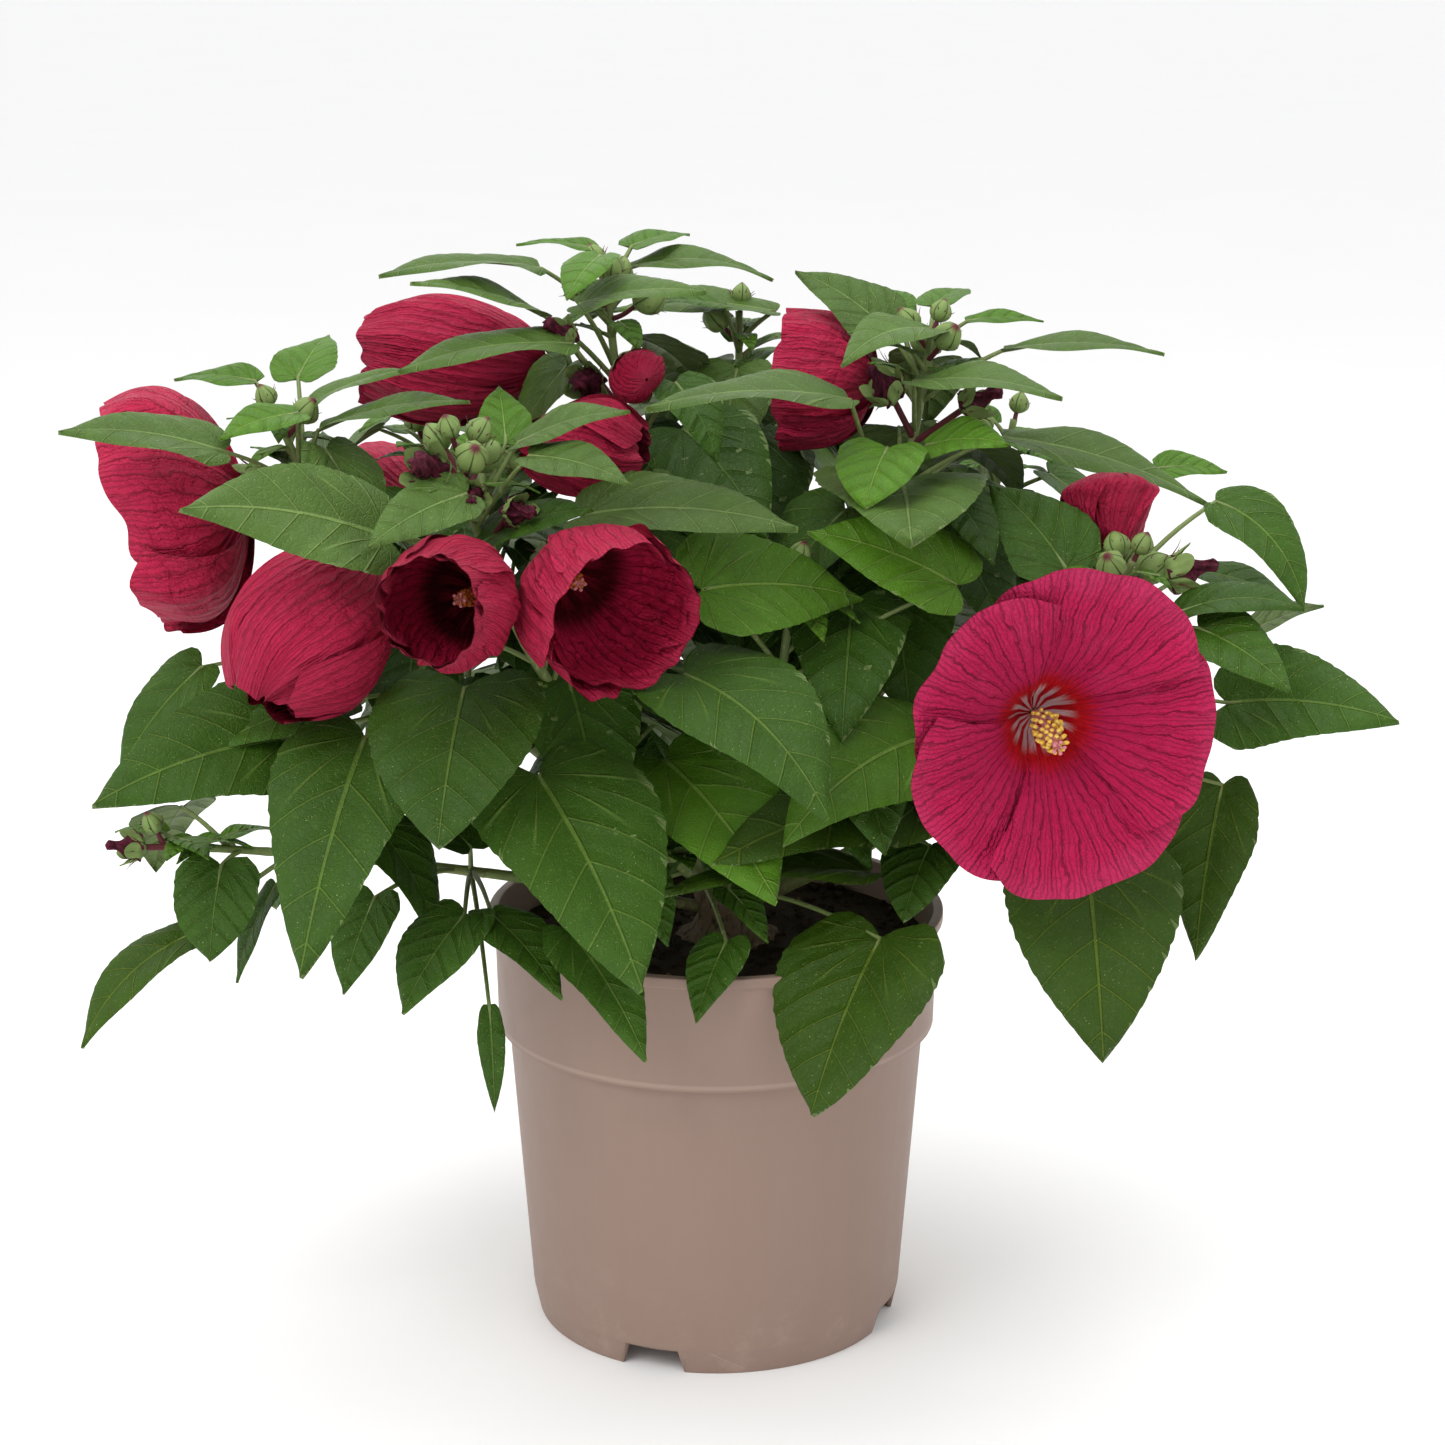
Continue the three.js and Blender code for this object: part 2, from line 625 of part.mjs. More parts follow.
// A whole leaf: a three-sided stalk from inside the stem, and a blade that is thickest on its
// midrib and sharp at its edges, with two lobes beside the stalk and then rows across it.
function makeLeaf(shoot, leaf, grow = 0) {
  const half = leaf.width / 2 + grow;
  const thick = Math.max(LEAF.thinnest, leaf.length / LEAF.slenderness) / 2 + grow;
  const corners = [];
  const triangles = [];
  const add = (...points) => corners.push(...points) - points.length;
  const edgesAt = (share, reach, fold) => {
    const { point, side, face } = bladeFrame(leaf, share);
    const rise = Math.sin(fold * DEG) * half * reach;
    const wide = Math.cos(fold * DEG) * half * reach;
    return add(...[wide, -wide].map((out) => (
      point.clone().addScaledVector(side, out).addScaledVector(face, rise))));
  };
  const middleAt = (share) => {
    const { point, face } = bladeFrame(leaf, share);
    return add(...[thick, -thick].map((out) => point.clone().addScaledVector(face, out)));
  };

  // The stalk: rings of three, the last of them at the foot of the blade.
  const root = shoot.route.getPoint(stalkRoot(shoot, leaf.foot, PETIOLE.leave));
  const foot = bladeFrame(leaf, 0);
  const straight = leaf.foot.clone().sub(root).normalize();
  [[root, straight], [leaf.foot, foot.along]].forEach(([point, along], i) => {
    const radius = PETIOLE.radius + grow;
    const side = foot.side.clone().addScaledVector(along, -foot.side.dot(along)).normalize();
    const face = along.clone().cross(side);
    const ring = add(...[90, 210, 330].map((angle) => point.clone()
      .addScaledVector(side, -radius * Math.cos(angle * DEG))
      .addScaledVector(face, radius * Math.sin(angle * DEG))));
    for (let k = 0; i > 0 && k < 3; k += 1) {
      const [a, b] = [ring + k, ring + ((k + 1) % 3)];
      triangles.push([a - 3, a, b], [a - 3, b, b - 3]);
    }
  });
  triangles.push([0, 1, 2]);

  // The blade: its left edge is the first of each pair of edges, its top the first middle.
  const [top, left, right] = [3, 4, 5];
  const lobes = edgesAt(-LEAF.lobe, 0.5, LEAF.fold / 2);
  const rows = LEAF.rows.find((choice) => leaf.length >= choice.from).across;
  let middle = middleAt(rows[0][0]);
  let edges = edgesAt(rows[0][0], rows[0][1], LEAF.fold);
  triangles.push([top, middle, edges], [top, edges, lobes], [top, lobes, left]);
  triangles.push([top, edges + 1, middle], [top, lobes + 1, edges + 1], [top, right, lobes + 1]);
  triangles.push([middle + 1, left, edges], [left, lobes, edges], [middle + 1, right, left]);
  triangles.push([middle + 1, edges + 1, right], [right, edges + 1, lobes + 1]);
  for (const [share, reach] of rows.slice(1)) {
    const m = middleAt(share);
    const e = edgesAt(share, reach, LEAF.fold);
    triangles.push([middle, m, e], [middle, e, edges], [middle, e + 1, m], [middle, edges + 1, e + 1]);
    triangles.push([middle + 1, e, m + 1], [middle + 1, edges, e]);
    triangles.push([middle + 1, m + 1, e + 1], [middle + 1, e + 1, edges + 1]);
    middle = m;
    edges = e;
  }
  const end = bladeFrame(leaf, 1);
  const tip = add(end.point.addScaledVector(end.along, grow));
  triangles.push([middle, tip, edges], [middle, edges + 1, tip]);
  triangles.push([middle + 1, edges, tip], [middle + 1, tip, edges + 1]);
  return solidOf(corners, triangles);
}

// Seeded numbers from 0 to 1, the same on every run.
function seeded(seed) {
  let state = seed;
  return () => {
    state = (state * 16807) % 2147483647;
    return state / 2147483647;
  };
}

// A leaf that the rule sets on a stem: a turn of the golden angle from the one before, with a
// long stalk and a large blade low down, and smaller towards the tip.
function wildLeaf(shoot, i, random) {
  const spread = (range) => range * (random() - 0.5);
  const room = 1 - WILD.first - WILD.last - shoot.leafy;
  const share = shoot.leafy + WILD.first + room * (i / Math.max(shoot.wild - 1, 1));
  const heading = shoot.side + WILD.turn * i + spread(WILD.stray);
  const size = 1 - WILD.shrink * share + spread(WILD.sizeSpread);
  const way = direction(heading, WILD.stalkPitchSpread * random() + WILD.stalkPitch);
  return {
    foot: shoot.route.getPoint(share)
      .addScaledVector(way, WILD.stalk * (WILD.stalkLow - WILD.stalkShrink * share)),
    heading: heading + spread(WILD.headingSpread),
    pitch: WILD.pitch - WILD.pitchSpread * random(),
    length: WILD.blade * size,
    width: WILD.blade * size * WILD.width,
    roll: spread(WILD.rollSpread),
    bend: LEAF.bend + WILD.bendSpread * random(),
  };
}

function statedLeaf([x, y, z, heading, pitch, length, width, roll, bend = LEAF.bend]) {
  return { foot: new THREE.Vector3(x, y, z), heading, pitch, length, width, roll, bend };
}

// A pod or bud on its stalk: it swells from its seat and ends blunt. at gives a point at a
// share of its length.
function makePod(root, at, length, radius, sides, grow) {
  const radii = [BUD.stalk, radius * BUD.seat, radius, radius * BUD.nose].map((r) => r + grow);
  return limbThrough([root, at(0), at(BUD.fat), at(1 + grow / length)], radii, sides);
}

// The bare part of a shoot: its leafy stem, the buds that stand round its tip, the largest
// lowest, and the pods at their stated places.
function makeBare(name, shoot, grow = 0) {
  const pieces = [stemBetween(shoot, shoot.leafy, 1, shoot.steps, grow)];
  for (let i = 0; i < shoot.buds; i += 1) {
    const low = i / shoot.buds;
    const size = BUD.least + BUD.gain * low;
    const root = shoot.route.getPoint(HEAD.top - HEAD.deep * low);
    const out = direction(shoot.side + BUD.turn * i, HEAD.slope - HEAD.lean * low);
    const seat = (BUD.spread * (1 + low)) / 2;
    const at = (share) => root.clone().addScaledVector(out, seat + BUD.length * size * share);
    pieces.push(makePod(root, at, BUD.length * size, BUD.radius * size, BUD.sides, grow));
  }
  for (const [x, y, z, heading, pitch, length, radius] of pods[name] ?? []) {
    const foot = new THREE.Vector3(x, y, z);
    const out = direction(heading, pitch);
    const at = (share) => foot.clone().addScaledVector(out, length * share);
    const root = shoot.route.getPoint(stalkRoot(shoot, foot, PETIOLE.leave));
    pieces.push(makePod(root, at, length, radius, BUD.podSides, grow));
  }
  return fused(pieces);
}

// Flowers.

// The petals of a flower as one thin shell that opens from its throat to a notched mouth.
function makeCorolla(bloom) {
  const axis = direction(bloom.heading, bloom.pitch);
  const foot = new THREE.Vector3(...bloom.foot);
  const [across, over] = sectionAxes(axis);
  const around = COROLLA.petals * (bloom.mouth > COROLLA.wide ? 3 : 2);
  const steps = bloom.belly[1] > COROLLA.deep ? COROLLA.steps : COROLLA.fewSteps;
  const [bellyRadius, bellyHeight] = bloom.belly;
  const along = (share) => {
    const rest = 1 - share;
    return {
      radius: rest * rest * COROLLA.throat + 2 * rest * share * bellyRadius + share * share * bloom.mouth,
      height: 2 * rest * share * bellyHeight + share * share * bloom.depth,
    };
  };
  const corners = [];
  const place = (radius, height, angle) => corners.push(foot.clone()
    .addScaledVector(axis, height)
    .addScaledVector(across, radius * Math.cos(angle))
    .addScaledVector(over, radius * bloom.oval * Math.sin(angle)));
  place(0, COROLLA.floor, 0);
  place(0, -CALYX.length, 0);
  for (const share of [0, ...steps]) {
    const { radius, height } = along(share);
    const ahead = along(share + 0.01);
    const behind = along(share - 0.01);
    const slope = Math.atan2(ahead.height - behind.height, ahead.radius - behind.radius);
    for (let k = 0; k < around; k += 1) {
      const angle = (2 * Math.PI * k) / around;
      const lobe = Math.abs(Math.cos((COROLLA.petals * angle) / 2));
      const reach = radius * (1 - bloom.notch * share ** 3 * (1 - lobe));
      place(reach, height, angle);
      const back = share === 0 ? CALYX.radius : reach + COROLLA.shell * Math.sin(slope);
      place(back, height - COROLLA.shell * Math.cos(slope), angle);
    }
  }
  const at = (row, k, back) => 2 + 2 * (row * around + (k % around)) + back;
  const last = steps.length;
  const triangles = [];
  for (let k = 0; k < around; k += 1) {
    triangles.push([0, at(0, k, 0), at(0, k + 1, 0)], [1, at(0, k + 1, 1), at(0, k, 1)]);
    for (let row = 0; row < last; row += 1) {
      for (const back of [0, 1]) {
        const [a, b] = [at(row, k, back), at(row + 1, k, back)];
        const [c, d] = [at(row + 1, k + 1, back), at(row, k + 1, back)];
        triangles.push(back ? [a, c, b] : [a, b, c], back ? [a, d, c] : [a, c, d]);
      }
    }
    triangles.push([at(last, k, 0), at(last, k, 1), at(last, k + 1, 1)]);
    triangles.push([at(last, k, 0), at(last, k + 1, 1), at(last, k + 1, 0)]);
  }
  return solidOf(corners, triangles);
}

// A whole flower with its calyx, its column of stamens and its stalk, cut clear of its stem.
function makeBloom(bloom) {
  const shoot = shoots[bloom.shoot];
  const axis = direction(bloom.heading, bloom.pitch);
  const foot = new THREE.Vector3(...bloom.foot);
  const at = (height) => foot.clone().addScaledVector(axis, height);
  const column = limbThrough(
    [at(0), at(bloom.depth * COLUMN.share)],
    [COLUMN.radius * COLUMN.waist, COLUMN.radius],
    COLUMN.sides,
  );
  const stalkEnd = at(-CALYX.length * PEDICEL.seat);
  const root = shoot.route.getPoint(stalkRoot(shoot, stalkEnd, PETIOLE.leave));
  const behind = at(-CALYX.length - PEDICEL.behind * root.distanceTo(stalkEnd));
  const way = [root, root.clone().lerp(behind, PEDICEL.bow), at(-CALYX.length), stalkEnd];
  const stalk = limbThrough(way, way.map(() => PEDICEL.radius), PEDICEL.sides);
  const bare = makeBare(bloom.shoot, shoot, GAP);
  return fused([makeCorolla(bloom), column, stalk].map((piece) => piece.subtract(bare)));
}

// The whole plant, node by node.

const solids = {};

// Whether a solid is clear of every finished node but its own.
function isClear(solid, own) {
  return Object.entries(solids).every(([name, other]) => (
    name === own || solid.intersect(other).isEmpty()));
}

solids.pot = makePot();
solids.soil = makeSoil();
solids.crown = makeCrown();
let taken = makeCrown(GAP);
for (const [name, shoot] of Object.entries(shoots)) {
  shoot.route = routeOf(shoot);
  shoot.length = shoot.route.getLength();
  shoot.grown = [];
  shoot.steps = Math.round((shoot.length * (1 - shoot.leafy)) / STEM.step);
  const near = shoot.route.getPoint(shoot.leafy - 0.001);
  const step = (0.001 * GAP) / shoot.route.getPoint(shoot.leafy).distanceTo(near);
  const limb = stemBetween(shoot, 0, shoot.leafy - step, STEM.limbSteps);
  solids[`stem_${name}`] = fused([limb.subtract(taken)]);
  taken = taken.add(stemBetween(shoot, 0, shoot.leafy - step, STEM.limbSteps, GAP));
}
for (const [name, shoot] of Object.entries(shoots)) {
  shoot.bare = makeBare(name, shoot);
  solids[`foliage_${name}`] = shoot.bare;
}
for (const [name, bloom] of Object.entries(blooms)) {
  solids[`bloom_${name}`] = makeBloom(bloom);
}

// Whether a leaf is clear of the leaves beside it.
function isApart(shoot, space) {
  return shoot.grown.every((other) => other.intersect(space).isEmpty());
}

// Leaves go on one by one. One that would touch another node is bent up or down until it is
// clear, of the leaves beside it too if it can be. Where no small bend clears it, it is left off.
// A leaf further in may also turn aside, and never touches the leaves beside it.
for (const [rows, turns] of [[leaves, [0]], [innerLeaves, TURNS]]) {
  for (const [name, list] of Object.entries(rows)) {
    const node = `foliage_${name}`;
    const shoot = shoots[name];
    for (const leaf of list.map(statedLeaf)) {
      const free = turns.flatMap((turn) => BENDS.map((bend) => (
        { ...leaf, heading: leaf.heading + turn, pitch: leaf.pitch + bend })))
        .filter((trial) => isClear(makeLeaf(shoot, trial, GAP), node));
      const apart = free.find((trial) => isApart(shoot, makeLeaf(shoot, trial, GAP)));
      const found = rows === leaves ? apart ?? free[0] : apart;
      if (found) shoot.grown.push(makeLeaf(shoot, found));
    }
    solids[node] = fused([shoot.bare, ...shoot.grown]);
  }
}

// A leaf by the rule is drawn again until it is also clear of the leaves beside it.
Object.entries(shoots).forEach(([name, shoot], order) => {
  const node = `foliage_${name}`;
  const random = seeded(SEED.first + SEED.step * order);
  for (let i = 0; i < shoot.wild; i += 1) {
    for (let draw = 0; draw < WILD.draws; draw += 1) {
      const leaf = wildLeaf(shoot, i, random);
      const space = makeLeaf(shoot, leaf, GAP);
      if (leaf.foot.y > WILD.front && isClear(space, node) && isApart(shoot, space)) {
        shoot.grown.push(makeLeaf(shoot, leaf));
        break;
      }
    }
  }
  solids[node] = fused([shoot.bare, ...shoot.grown]);
});

const plant = new THREE.Group();
plant.name = 'potted_hibiscus';
const finishes = {
  pot: materials.pot,
  soil: materials.soil,
  crown: materials.bark,
  stem: materials.stem,
  foliage: materials.leaf,
  bloom: materials.petal,
};
for (const [name, solid] of Object.entries(solids)) {
  plant.add(meshOf(name, solid, finishes[name.split('_')[0]]));
}

export default plant;
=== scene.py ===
# The looks of a hardy hibiscus in its nursery pot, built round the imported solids.
# Lengths are written in millimetres and turned into metres as each mesh is made.

import math

import bpy
import numpy as np
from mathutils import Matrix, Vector, kdtree
from mathutils.bvhtree import BVHTree


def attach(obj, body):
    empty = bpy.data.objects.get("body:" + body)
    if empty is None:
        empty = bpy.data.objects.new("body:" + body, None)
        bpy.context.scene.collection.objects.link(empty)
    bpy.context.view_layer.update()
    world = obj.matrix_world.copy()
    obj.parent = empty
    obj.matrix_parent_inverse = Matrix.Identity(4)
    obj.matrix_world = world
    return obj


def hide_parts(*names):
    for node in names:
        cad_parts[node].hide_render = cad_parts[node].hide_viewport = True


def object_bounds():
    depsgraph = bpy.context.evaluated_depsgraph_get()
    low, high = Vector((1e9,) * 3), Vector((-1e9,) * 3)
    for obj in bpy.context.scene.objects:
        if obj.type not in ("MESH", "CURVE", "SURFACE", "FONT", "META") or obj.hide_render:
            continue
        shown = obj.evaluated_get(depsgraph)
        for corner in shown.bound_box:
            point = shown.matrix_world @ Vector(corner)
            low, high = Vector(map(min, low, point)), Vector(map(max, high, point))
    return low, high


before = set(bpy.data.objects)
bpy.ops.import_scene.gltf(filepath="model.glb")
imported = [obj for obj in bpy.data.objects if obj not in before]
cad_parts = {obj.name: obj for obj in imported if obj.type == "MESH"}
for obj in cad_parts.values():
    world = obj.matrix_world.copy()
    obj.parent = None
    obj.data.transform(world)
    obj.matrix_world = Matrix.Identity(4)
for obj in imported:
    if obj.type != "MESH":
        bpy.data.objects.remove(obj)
cad_box = [list(corner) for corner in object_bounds()]


# The pot: one thin shell of taupe plastic, moulded with a wider band under a turned-out lip.
# Four notches are cut in its foot ring, and its underside is raised into a channel.

POT = {"foot": 92, "skirt": (95, 13.6), "neck": (105.7, 156), "band": (110.8, 156),
       "shoulder": (112, 209), "lip": (115, 210), "height": 215, "wall": 2, "floor": 14.6, "pad": 60,
       "channel": 11.5, "corner": 0.8, "axis": 0.5, "step": 2.0}
NOTCHES = {"headings": (-110, -20, 70, 160), "top": 27, "foot": 33, "height": 11, "side": 0.02}
TAUPE = (0.262, 0.176, 0.139, 1)
DUSTY_TAUPE = (0.345, 0.245, 0.200, 1)
SMUDGED_TAUPE = (0.205, 0.136, 0.106, 1)


class Wire:
    """One output in a material. Arithmetic on it adds the node that works it out."""

    def __init__(self, tree, socket):
        self.tree = tree
        self.socket = socket

    def node(self, kind, values=None, output=0, **settings):
        """Adds a node, sets it up, fills or links its inputs, and gives back one of its outputs."""
        node = self.tree.nodes.new(kind)
        for name, value in settings.items():
            setattr(node, name, value)
        for name, value in (values or {}).items():
            if isinstance(value, Wire):
                self.tree.links.new(value.socket, node.inputs[name])
            else:
                node.inputs[name].default_value = value
        return Wire(self.tree, node.outputs[output])

    def maths(self, operation, *terms):
        """Plain maths on numbers, or on vectors and colours where one of the terms is one."""
        wide = any(isinstance(term, tuple) or isinstance(term, Wire) and term.socket.type != "VALUE"
                   for term in terms)
        if not wide:
            return self.node("ShaderNodeMath", dict(enumerate(terms)), operation=operation)
        full = [(term,) * 3 if isinstance(term, (int, float)) else term for term in terms]
        return self.node("ShaderNodeVectorMath", dict(enumerate(full)), operation=operation)

    def __add__(self, other):
        return self.maths("ADD", self, other)

    def __radd__(self, other):
        return self.maths("ADD", other, self)

    def __sub__(self, other):
        return self.maths("SUBTRACT", self, other)

    def __rsub__(self, other):
        return self.maths("SUBTRACT", other, self)

    def __mul__(self, other):
        return self.maths("MULTIPLY", self, other)

    def __rmul__(self, other):
        return self.maths("MULTIPLY", other, self)

    def __truediv__(self, other):
        return self.maths("DIVIDE", self, other)

    def __abs__(self):
        return self.maths("ABSOLUTE", self)

    def fraction(self):
        return self.maths("FRACT", self)

    def least(self, other):
        return self.maths("MINIMUM", self, other)

    def most(self, other):
        return self.maths("MAXIMUM", self, other)

    def angle(self, other):
        return self.maths("ARCTAN2", self, other)

    def step(self, low, high):
        """0 below low, 1 above high, and smooth between them; the other way round if high is lower."""
        first, last, near, far = (low, high, 0, 1) if low < high else (high, low, 1, 0)
        return self.node("ShaderNodeMapRange", {"Value": self, "From Min": first, "From Max": last,
                         "To Min": near, "To Max": far}, interpolation_type="SMOOTHSTEP")

    def mix(self, off, on):
        """The first colour where this is 0 and the second where it is 1."""
        return self.node("ShaderNodeMix", {0: self, 6: off, 7: on}, output=2, data_type="RGBA")

    def parts(self):
        return [self.node("ShaderNodeSeparateXYZ", {0: self}, output=k) for k in range(3)]

    def mark(self):
        """The three numbers that each point of a mesh holds for its material."""
        return self.node("ShaderNodeAttribute", output=1, attribute_name="place")

    def noise(self, scale, detail=3, roughness=0.5, distortion=0):
        return self.node("ShaderNodeTexNoise", {"Vector": self, "Scale": scale, "Detail": detail,
                         "Roughness": roughness, "Distortion": distortion})


def new_finish(name, roughness, specular):
    """A material with its constants on the shader's own sockets, and the object's coordinates."""
    material = bpy.data.materials.new(name)
    material.use_nodes = True
    shader = material.node_tree.nodes["Principled BSDF"]
    shader.inputs["Roughness"].default_value = roughness
    shader.inputs["Specular IOR Level"].default_value = specular
    place = Wire(material.node_tree, None).node("ShaderNodeTexCoord", output=3)
    return material, place


def coat_with(material, colour, roughness=None, relief=None, depth=0.0005):
    """Joins what varies over the surface to the material's shader."""
    tree = material.node_tree
    shader = tree.nodes["Principled BSDF"]
    tree.links.new(colour.socket, shader.inputs["Base Color"])
    if roughness is not None:
        tree.links.new(roughness.socket, shader.inputs["Roughness"])
    if relief is not None:
        bump = relief.node("ShaderNodeBump", {"Height": relief, "Strength": 1.0, "Distance": depth})
        tree.links.new(bump.socket, shader.inputs["Normal"])


def patch(points, closed=False, place=None):
    """A sheet of quads through rows of points, or a tube where each row closes on itself.
    place holds three numbers for each point that its material reads."""
    rows, cols = points.shape[:2]
    wide = cols if closed else cols - 1
    row, col = np.meshgrid(np.arange(rows - 1), np.arange(wide), indexing="ij")
    corners = [(row, col), (row, col + 1), (row + 1, col + 1), (row + 1, col)]
    quads = np.stack([r * cols + c % cols for r, c in corners], axis=-1).reshape(-1, 4)
    spread = np.stack([np.stack([c / wide, r / (rows - 1)], axis=-1) for r, c in corners], axis=2)
    if place is None:
        place = np.zeros((rows, cols, 3))
    return {"points": points.reshape(-1, 3), "quads": quads, "spread": spread.reshape(-1, 4, 2),
            "place": np.broadcast_to(place, (rows, cols, 3)).reshape(-1, 3)}


def join(name, patches, material, slot, *nodes):
    """One smooth mesh of all these patches, each with a square of the piece's unfolding to itself."""
    count = np.cumsum([0] + [len(part["points"]) for part in patches])
    points = np.concatenate([part["points"] for part in patches]) * 0.001
    quads = np.concatenate([part["quads"] + first for part, first in zip(patches, count)])
    side = math.ceil(math.sqrt(len(patches)))
    spread = np.concatenate([
        (part["spread"] * 0.94 + 0.03 + (i % side, i // side)) / side for i, part in enumerate(patches)])
    mesh = bpy.data.meshes.new(name)
    mesh.vertices.add(len(points))
    mesh.vertices.foreach_set("co", points.ravel())
    mesh.loops.add(quads.size)
    mesh.loops.foreach_set("vertex_index", quads.ravel())
    mesh.polygons.add(len(quads))
    mesh.polygons.foreach_set("loop_start", np.arange(0, quads.size, 4))
    mesh.polygons.foreach_set("use_smooth", np.ones(len(quads), bool))
    mesh.uv_layers.new(name="OFBake").data.foreach_set("uv", spread.ravel())
    places = np.concatenate([part["place"] for part in patches]).astype(np.float32)
    mesh.attributes.new("place", "FLOAT_VECTOR", "POINT").data.foreach_set("vector", places.ravel())
    mesh.update(calc_edges=True)
    mesh.materials.append(material)
    piece = bpy.data.objects.new(name, mesh)
    bpy.context.collection.objects.link(piece)
    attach(piece, "root")
    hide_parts(*nodes)


def rounded(profile, radius):
    """A profile whose corners are turned by short arcs."""
    made = [profile[0]]
    for before, corner, after in zip(profile, profile[1:], profile[2:]):
        before, corner, after = (np.array(p, float) for p in (before, corner, after))
        back, on = before - corner, after - corner
        reach = min(radius, np.linalg.norm(back) / 2.2, np.linalg.norm(on) / 2.2)
        start = corner + back / np.linalg.norm(back) * reach
        end = corner + on / np.linalg.norm(on) * reach
        for t in (0, 0.33, 0.67, 1):
            made.append(tuple((1 - t) ** 2 * start + 2 * t * (1 - t) * corner + t * t * end))
    return made + [profile[-1]]


wall = POT["wall"]
pot_profile = rounded([
    (POT["axis"], 0), (POT["pad"], 0), (POT["pad"] + 2, POT["channel"]),
    (POT["foot"] - wall, POT["channel"]), (POT["foot"] - wall, 0), (POT["foot"], 0),
    POT["skirt"], POT["neck"], POT["band"], POT["shoulder"],
    POT["lip"], (POT["lip"][0], POT["height"]), (POT["shoulder"][0] - wall, POT["height"]),
    (POT["neck"][0] - wall, POT["neck"][1]), (POT["skirt"][0] - wall, POT["floor"]),
    (POT["axis"], POT["floor"])], POT["corner"])


def notch_columns():
    """The turned pot's columns: an even round of them, and two close together at each notch's sides."""
    columns = []
    half = math.degrees(math.asin(NOTCHES["top"] / 2 / POT["foot"]))
    for degree in np.arange(0, 360, POT["step"]):
        away = [(degree - heading + 180) % 360 - 180 for heading in NOTCHES["headings"]]
        nearest = min(away, key=abs)
        if abs(abs(nearest) - half) > 1.3 * POT["step"]:
            columns.append((degree, abs(nearest) < half, 0))
    for heading in NOTCHES["headings"]:
        for hand in (-1, 1):
            columns.append((heading + hand * (half - NOTCHES["side"]), True, 0))
            columns.append((heading + hand * half, False, hand))
    return sorted(columns, key=lambda column: column[0] % 360)


def pot_column(degree, raised, hand):
    """One column of the pot: raised over a notch, or leaning out along a notch's slanted side.
    hand says on which side of its notch the column leans."""
    places = []
    lean = math.degrees((NOTCHES["foot"] - NOTCHES["top"]) / 2 / POT["foot"])
    for radius, height in pot_profile:
        on_wall = radius > POT["pad"] + 10
        if raised and on_wall:
            height = max(height, NOTCHES["height"])
        aside = hand * lean * max(0, 1 - height / NOTCHES["height"]) if on_wall else 0
        angle = math.radians(degree + aside)
        places.append((radius * math.cos(angle), radius * math.sin(angle), height))
    return places


pot_points = np.array([pot_column(*column) for column in notch_columns()]).transpose(1, 0, 2)

pot_plastic, place = new_finish("taupe_pot_plastic", 0.5, 0.42)
across, deep, height = place.parts()
smudges = place.noise(14, detail=4, roughness=0.6).step(0.52, 0.7) * height.step(0.1, 0.17)
dust = place.noise(42, detail=5, roughness=0.7).step(0.5, 0.72) * height.step(0.07, 0.0) * 0.6
# A paler line just above the band's lower edge.
pale_band_line = abs(height - 0.1585).step(0.0016, 0.0004)
streaks = (place * (1, 1, 0.12)).noise(160, detail=2)
scratch_way = abs((across - 0.0005) * 0.5 + (height - 0.0105) * 0.9)
scratch = scratch_way.step(0.0005, 0.0001) * abs(across - 0.006).step(0.011, 0.006) * deep.step(0.0, -0.02)
colour = (smudges * 0.35).mix(TAUPE, SMUDGED_TAUPE)
colour = (dust + pale_band_line * 0.7 + scratch * 0.8).least(1).mix(colour, DUSTY_TAUPE)
colour = colour * (0.975 + 0.05 * streaks)
grain = place.noise(2600, detail=2) * 0.35 + place.noise(420, detail=2) * 0.3 + streaks * 0.12 - scratch
coat_with(pot_plastic, colour, 0.44 + 0.16 * place.noise(70, detail=4) + 0.1 * dust, grain, 0.00012)
join("nursery_pot", [patch(pot_points, closed=True)], pot_plastic, "pot", "pot")


# The compost: dark, crumbly and a little mounded round the plant's foot, with loose crumbs and
# a few pale bits of fibre lying on it. It stops just under the pot's rim.

SOIL = {"foot": 14.9, "foot_radius": 92.7, "bend": (102.8, 152), "edge": 196.5, "edge_radius": 107.4,
        "middle": 199, "flat": 40, "columns": 120, "rings": 44}
CRUMBS = {"count": 520, "within": 104, "least": 0.8, "gain": 1.9, "longer": 1.6}
SOIL_BROWN = (0.030, 0.020, 0.013, 1)
CRUMB_BROWN = (0.075, 0.048, 0.030, 1)
FIBRE_BROWN = (0.20, 0.135, 0.08, 1)

luck = np.random.default_rng(11)


def bumps(x, y, size):
    """A soft uneven height over a flat place, between about -1 and 1."""
    return (np.sin(x / size + 1.3 * np.sin(y / size * 0.7)) * np.cos(y / size * 1.1 + 0.6)
            + 0.6 * np.sin(x / size * 2.3 + 2.1) * np.sin(y / size * 1.9 + np.cos(x / size))) / 1.5


def ground(radius):
    """The height of the compost's mound this far from its middle."""
    return np.interp(radius, [SOIL["flat"], SOIL["edge_radius"]], [SOIL["middle"], SOIL["edge"]])


turn = np.linspace(0, 2 * np.pi, SOIL["columns"], endpoint=False)
soil_rows = []
for radius, height in ((POT["axis"], SOIL["foot"]), (SOIL["foot_radius"], SOIL["foot"]), SOIL["bend"]):
    soil_rows.append(np.stack([radius * np.cos(turn), radius * np.sin(turn), height + 0 * turn], axis=1))
for radius in np.linspace(SOIL["edge_radius"], POT["axis"], SOIL["rings"]):
    x, y = radius * np.cos(turn), radius * np.sin(turn)
    soft = min(1, (SOIL["edge_radius"] - radius) / 8)
    uneven = 1.1 * bumps(x, y, 9) + 0.8 * bumps(y, x, 3.1)
    soil_rows.append(np.stack([x, y, ground(radius) + soft * uneven], axis=1))


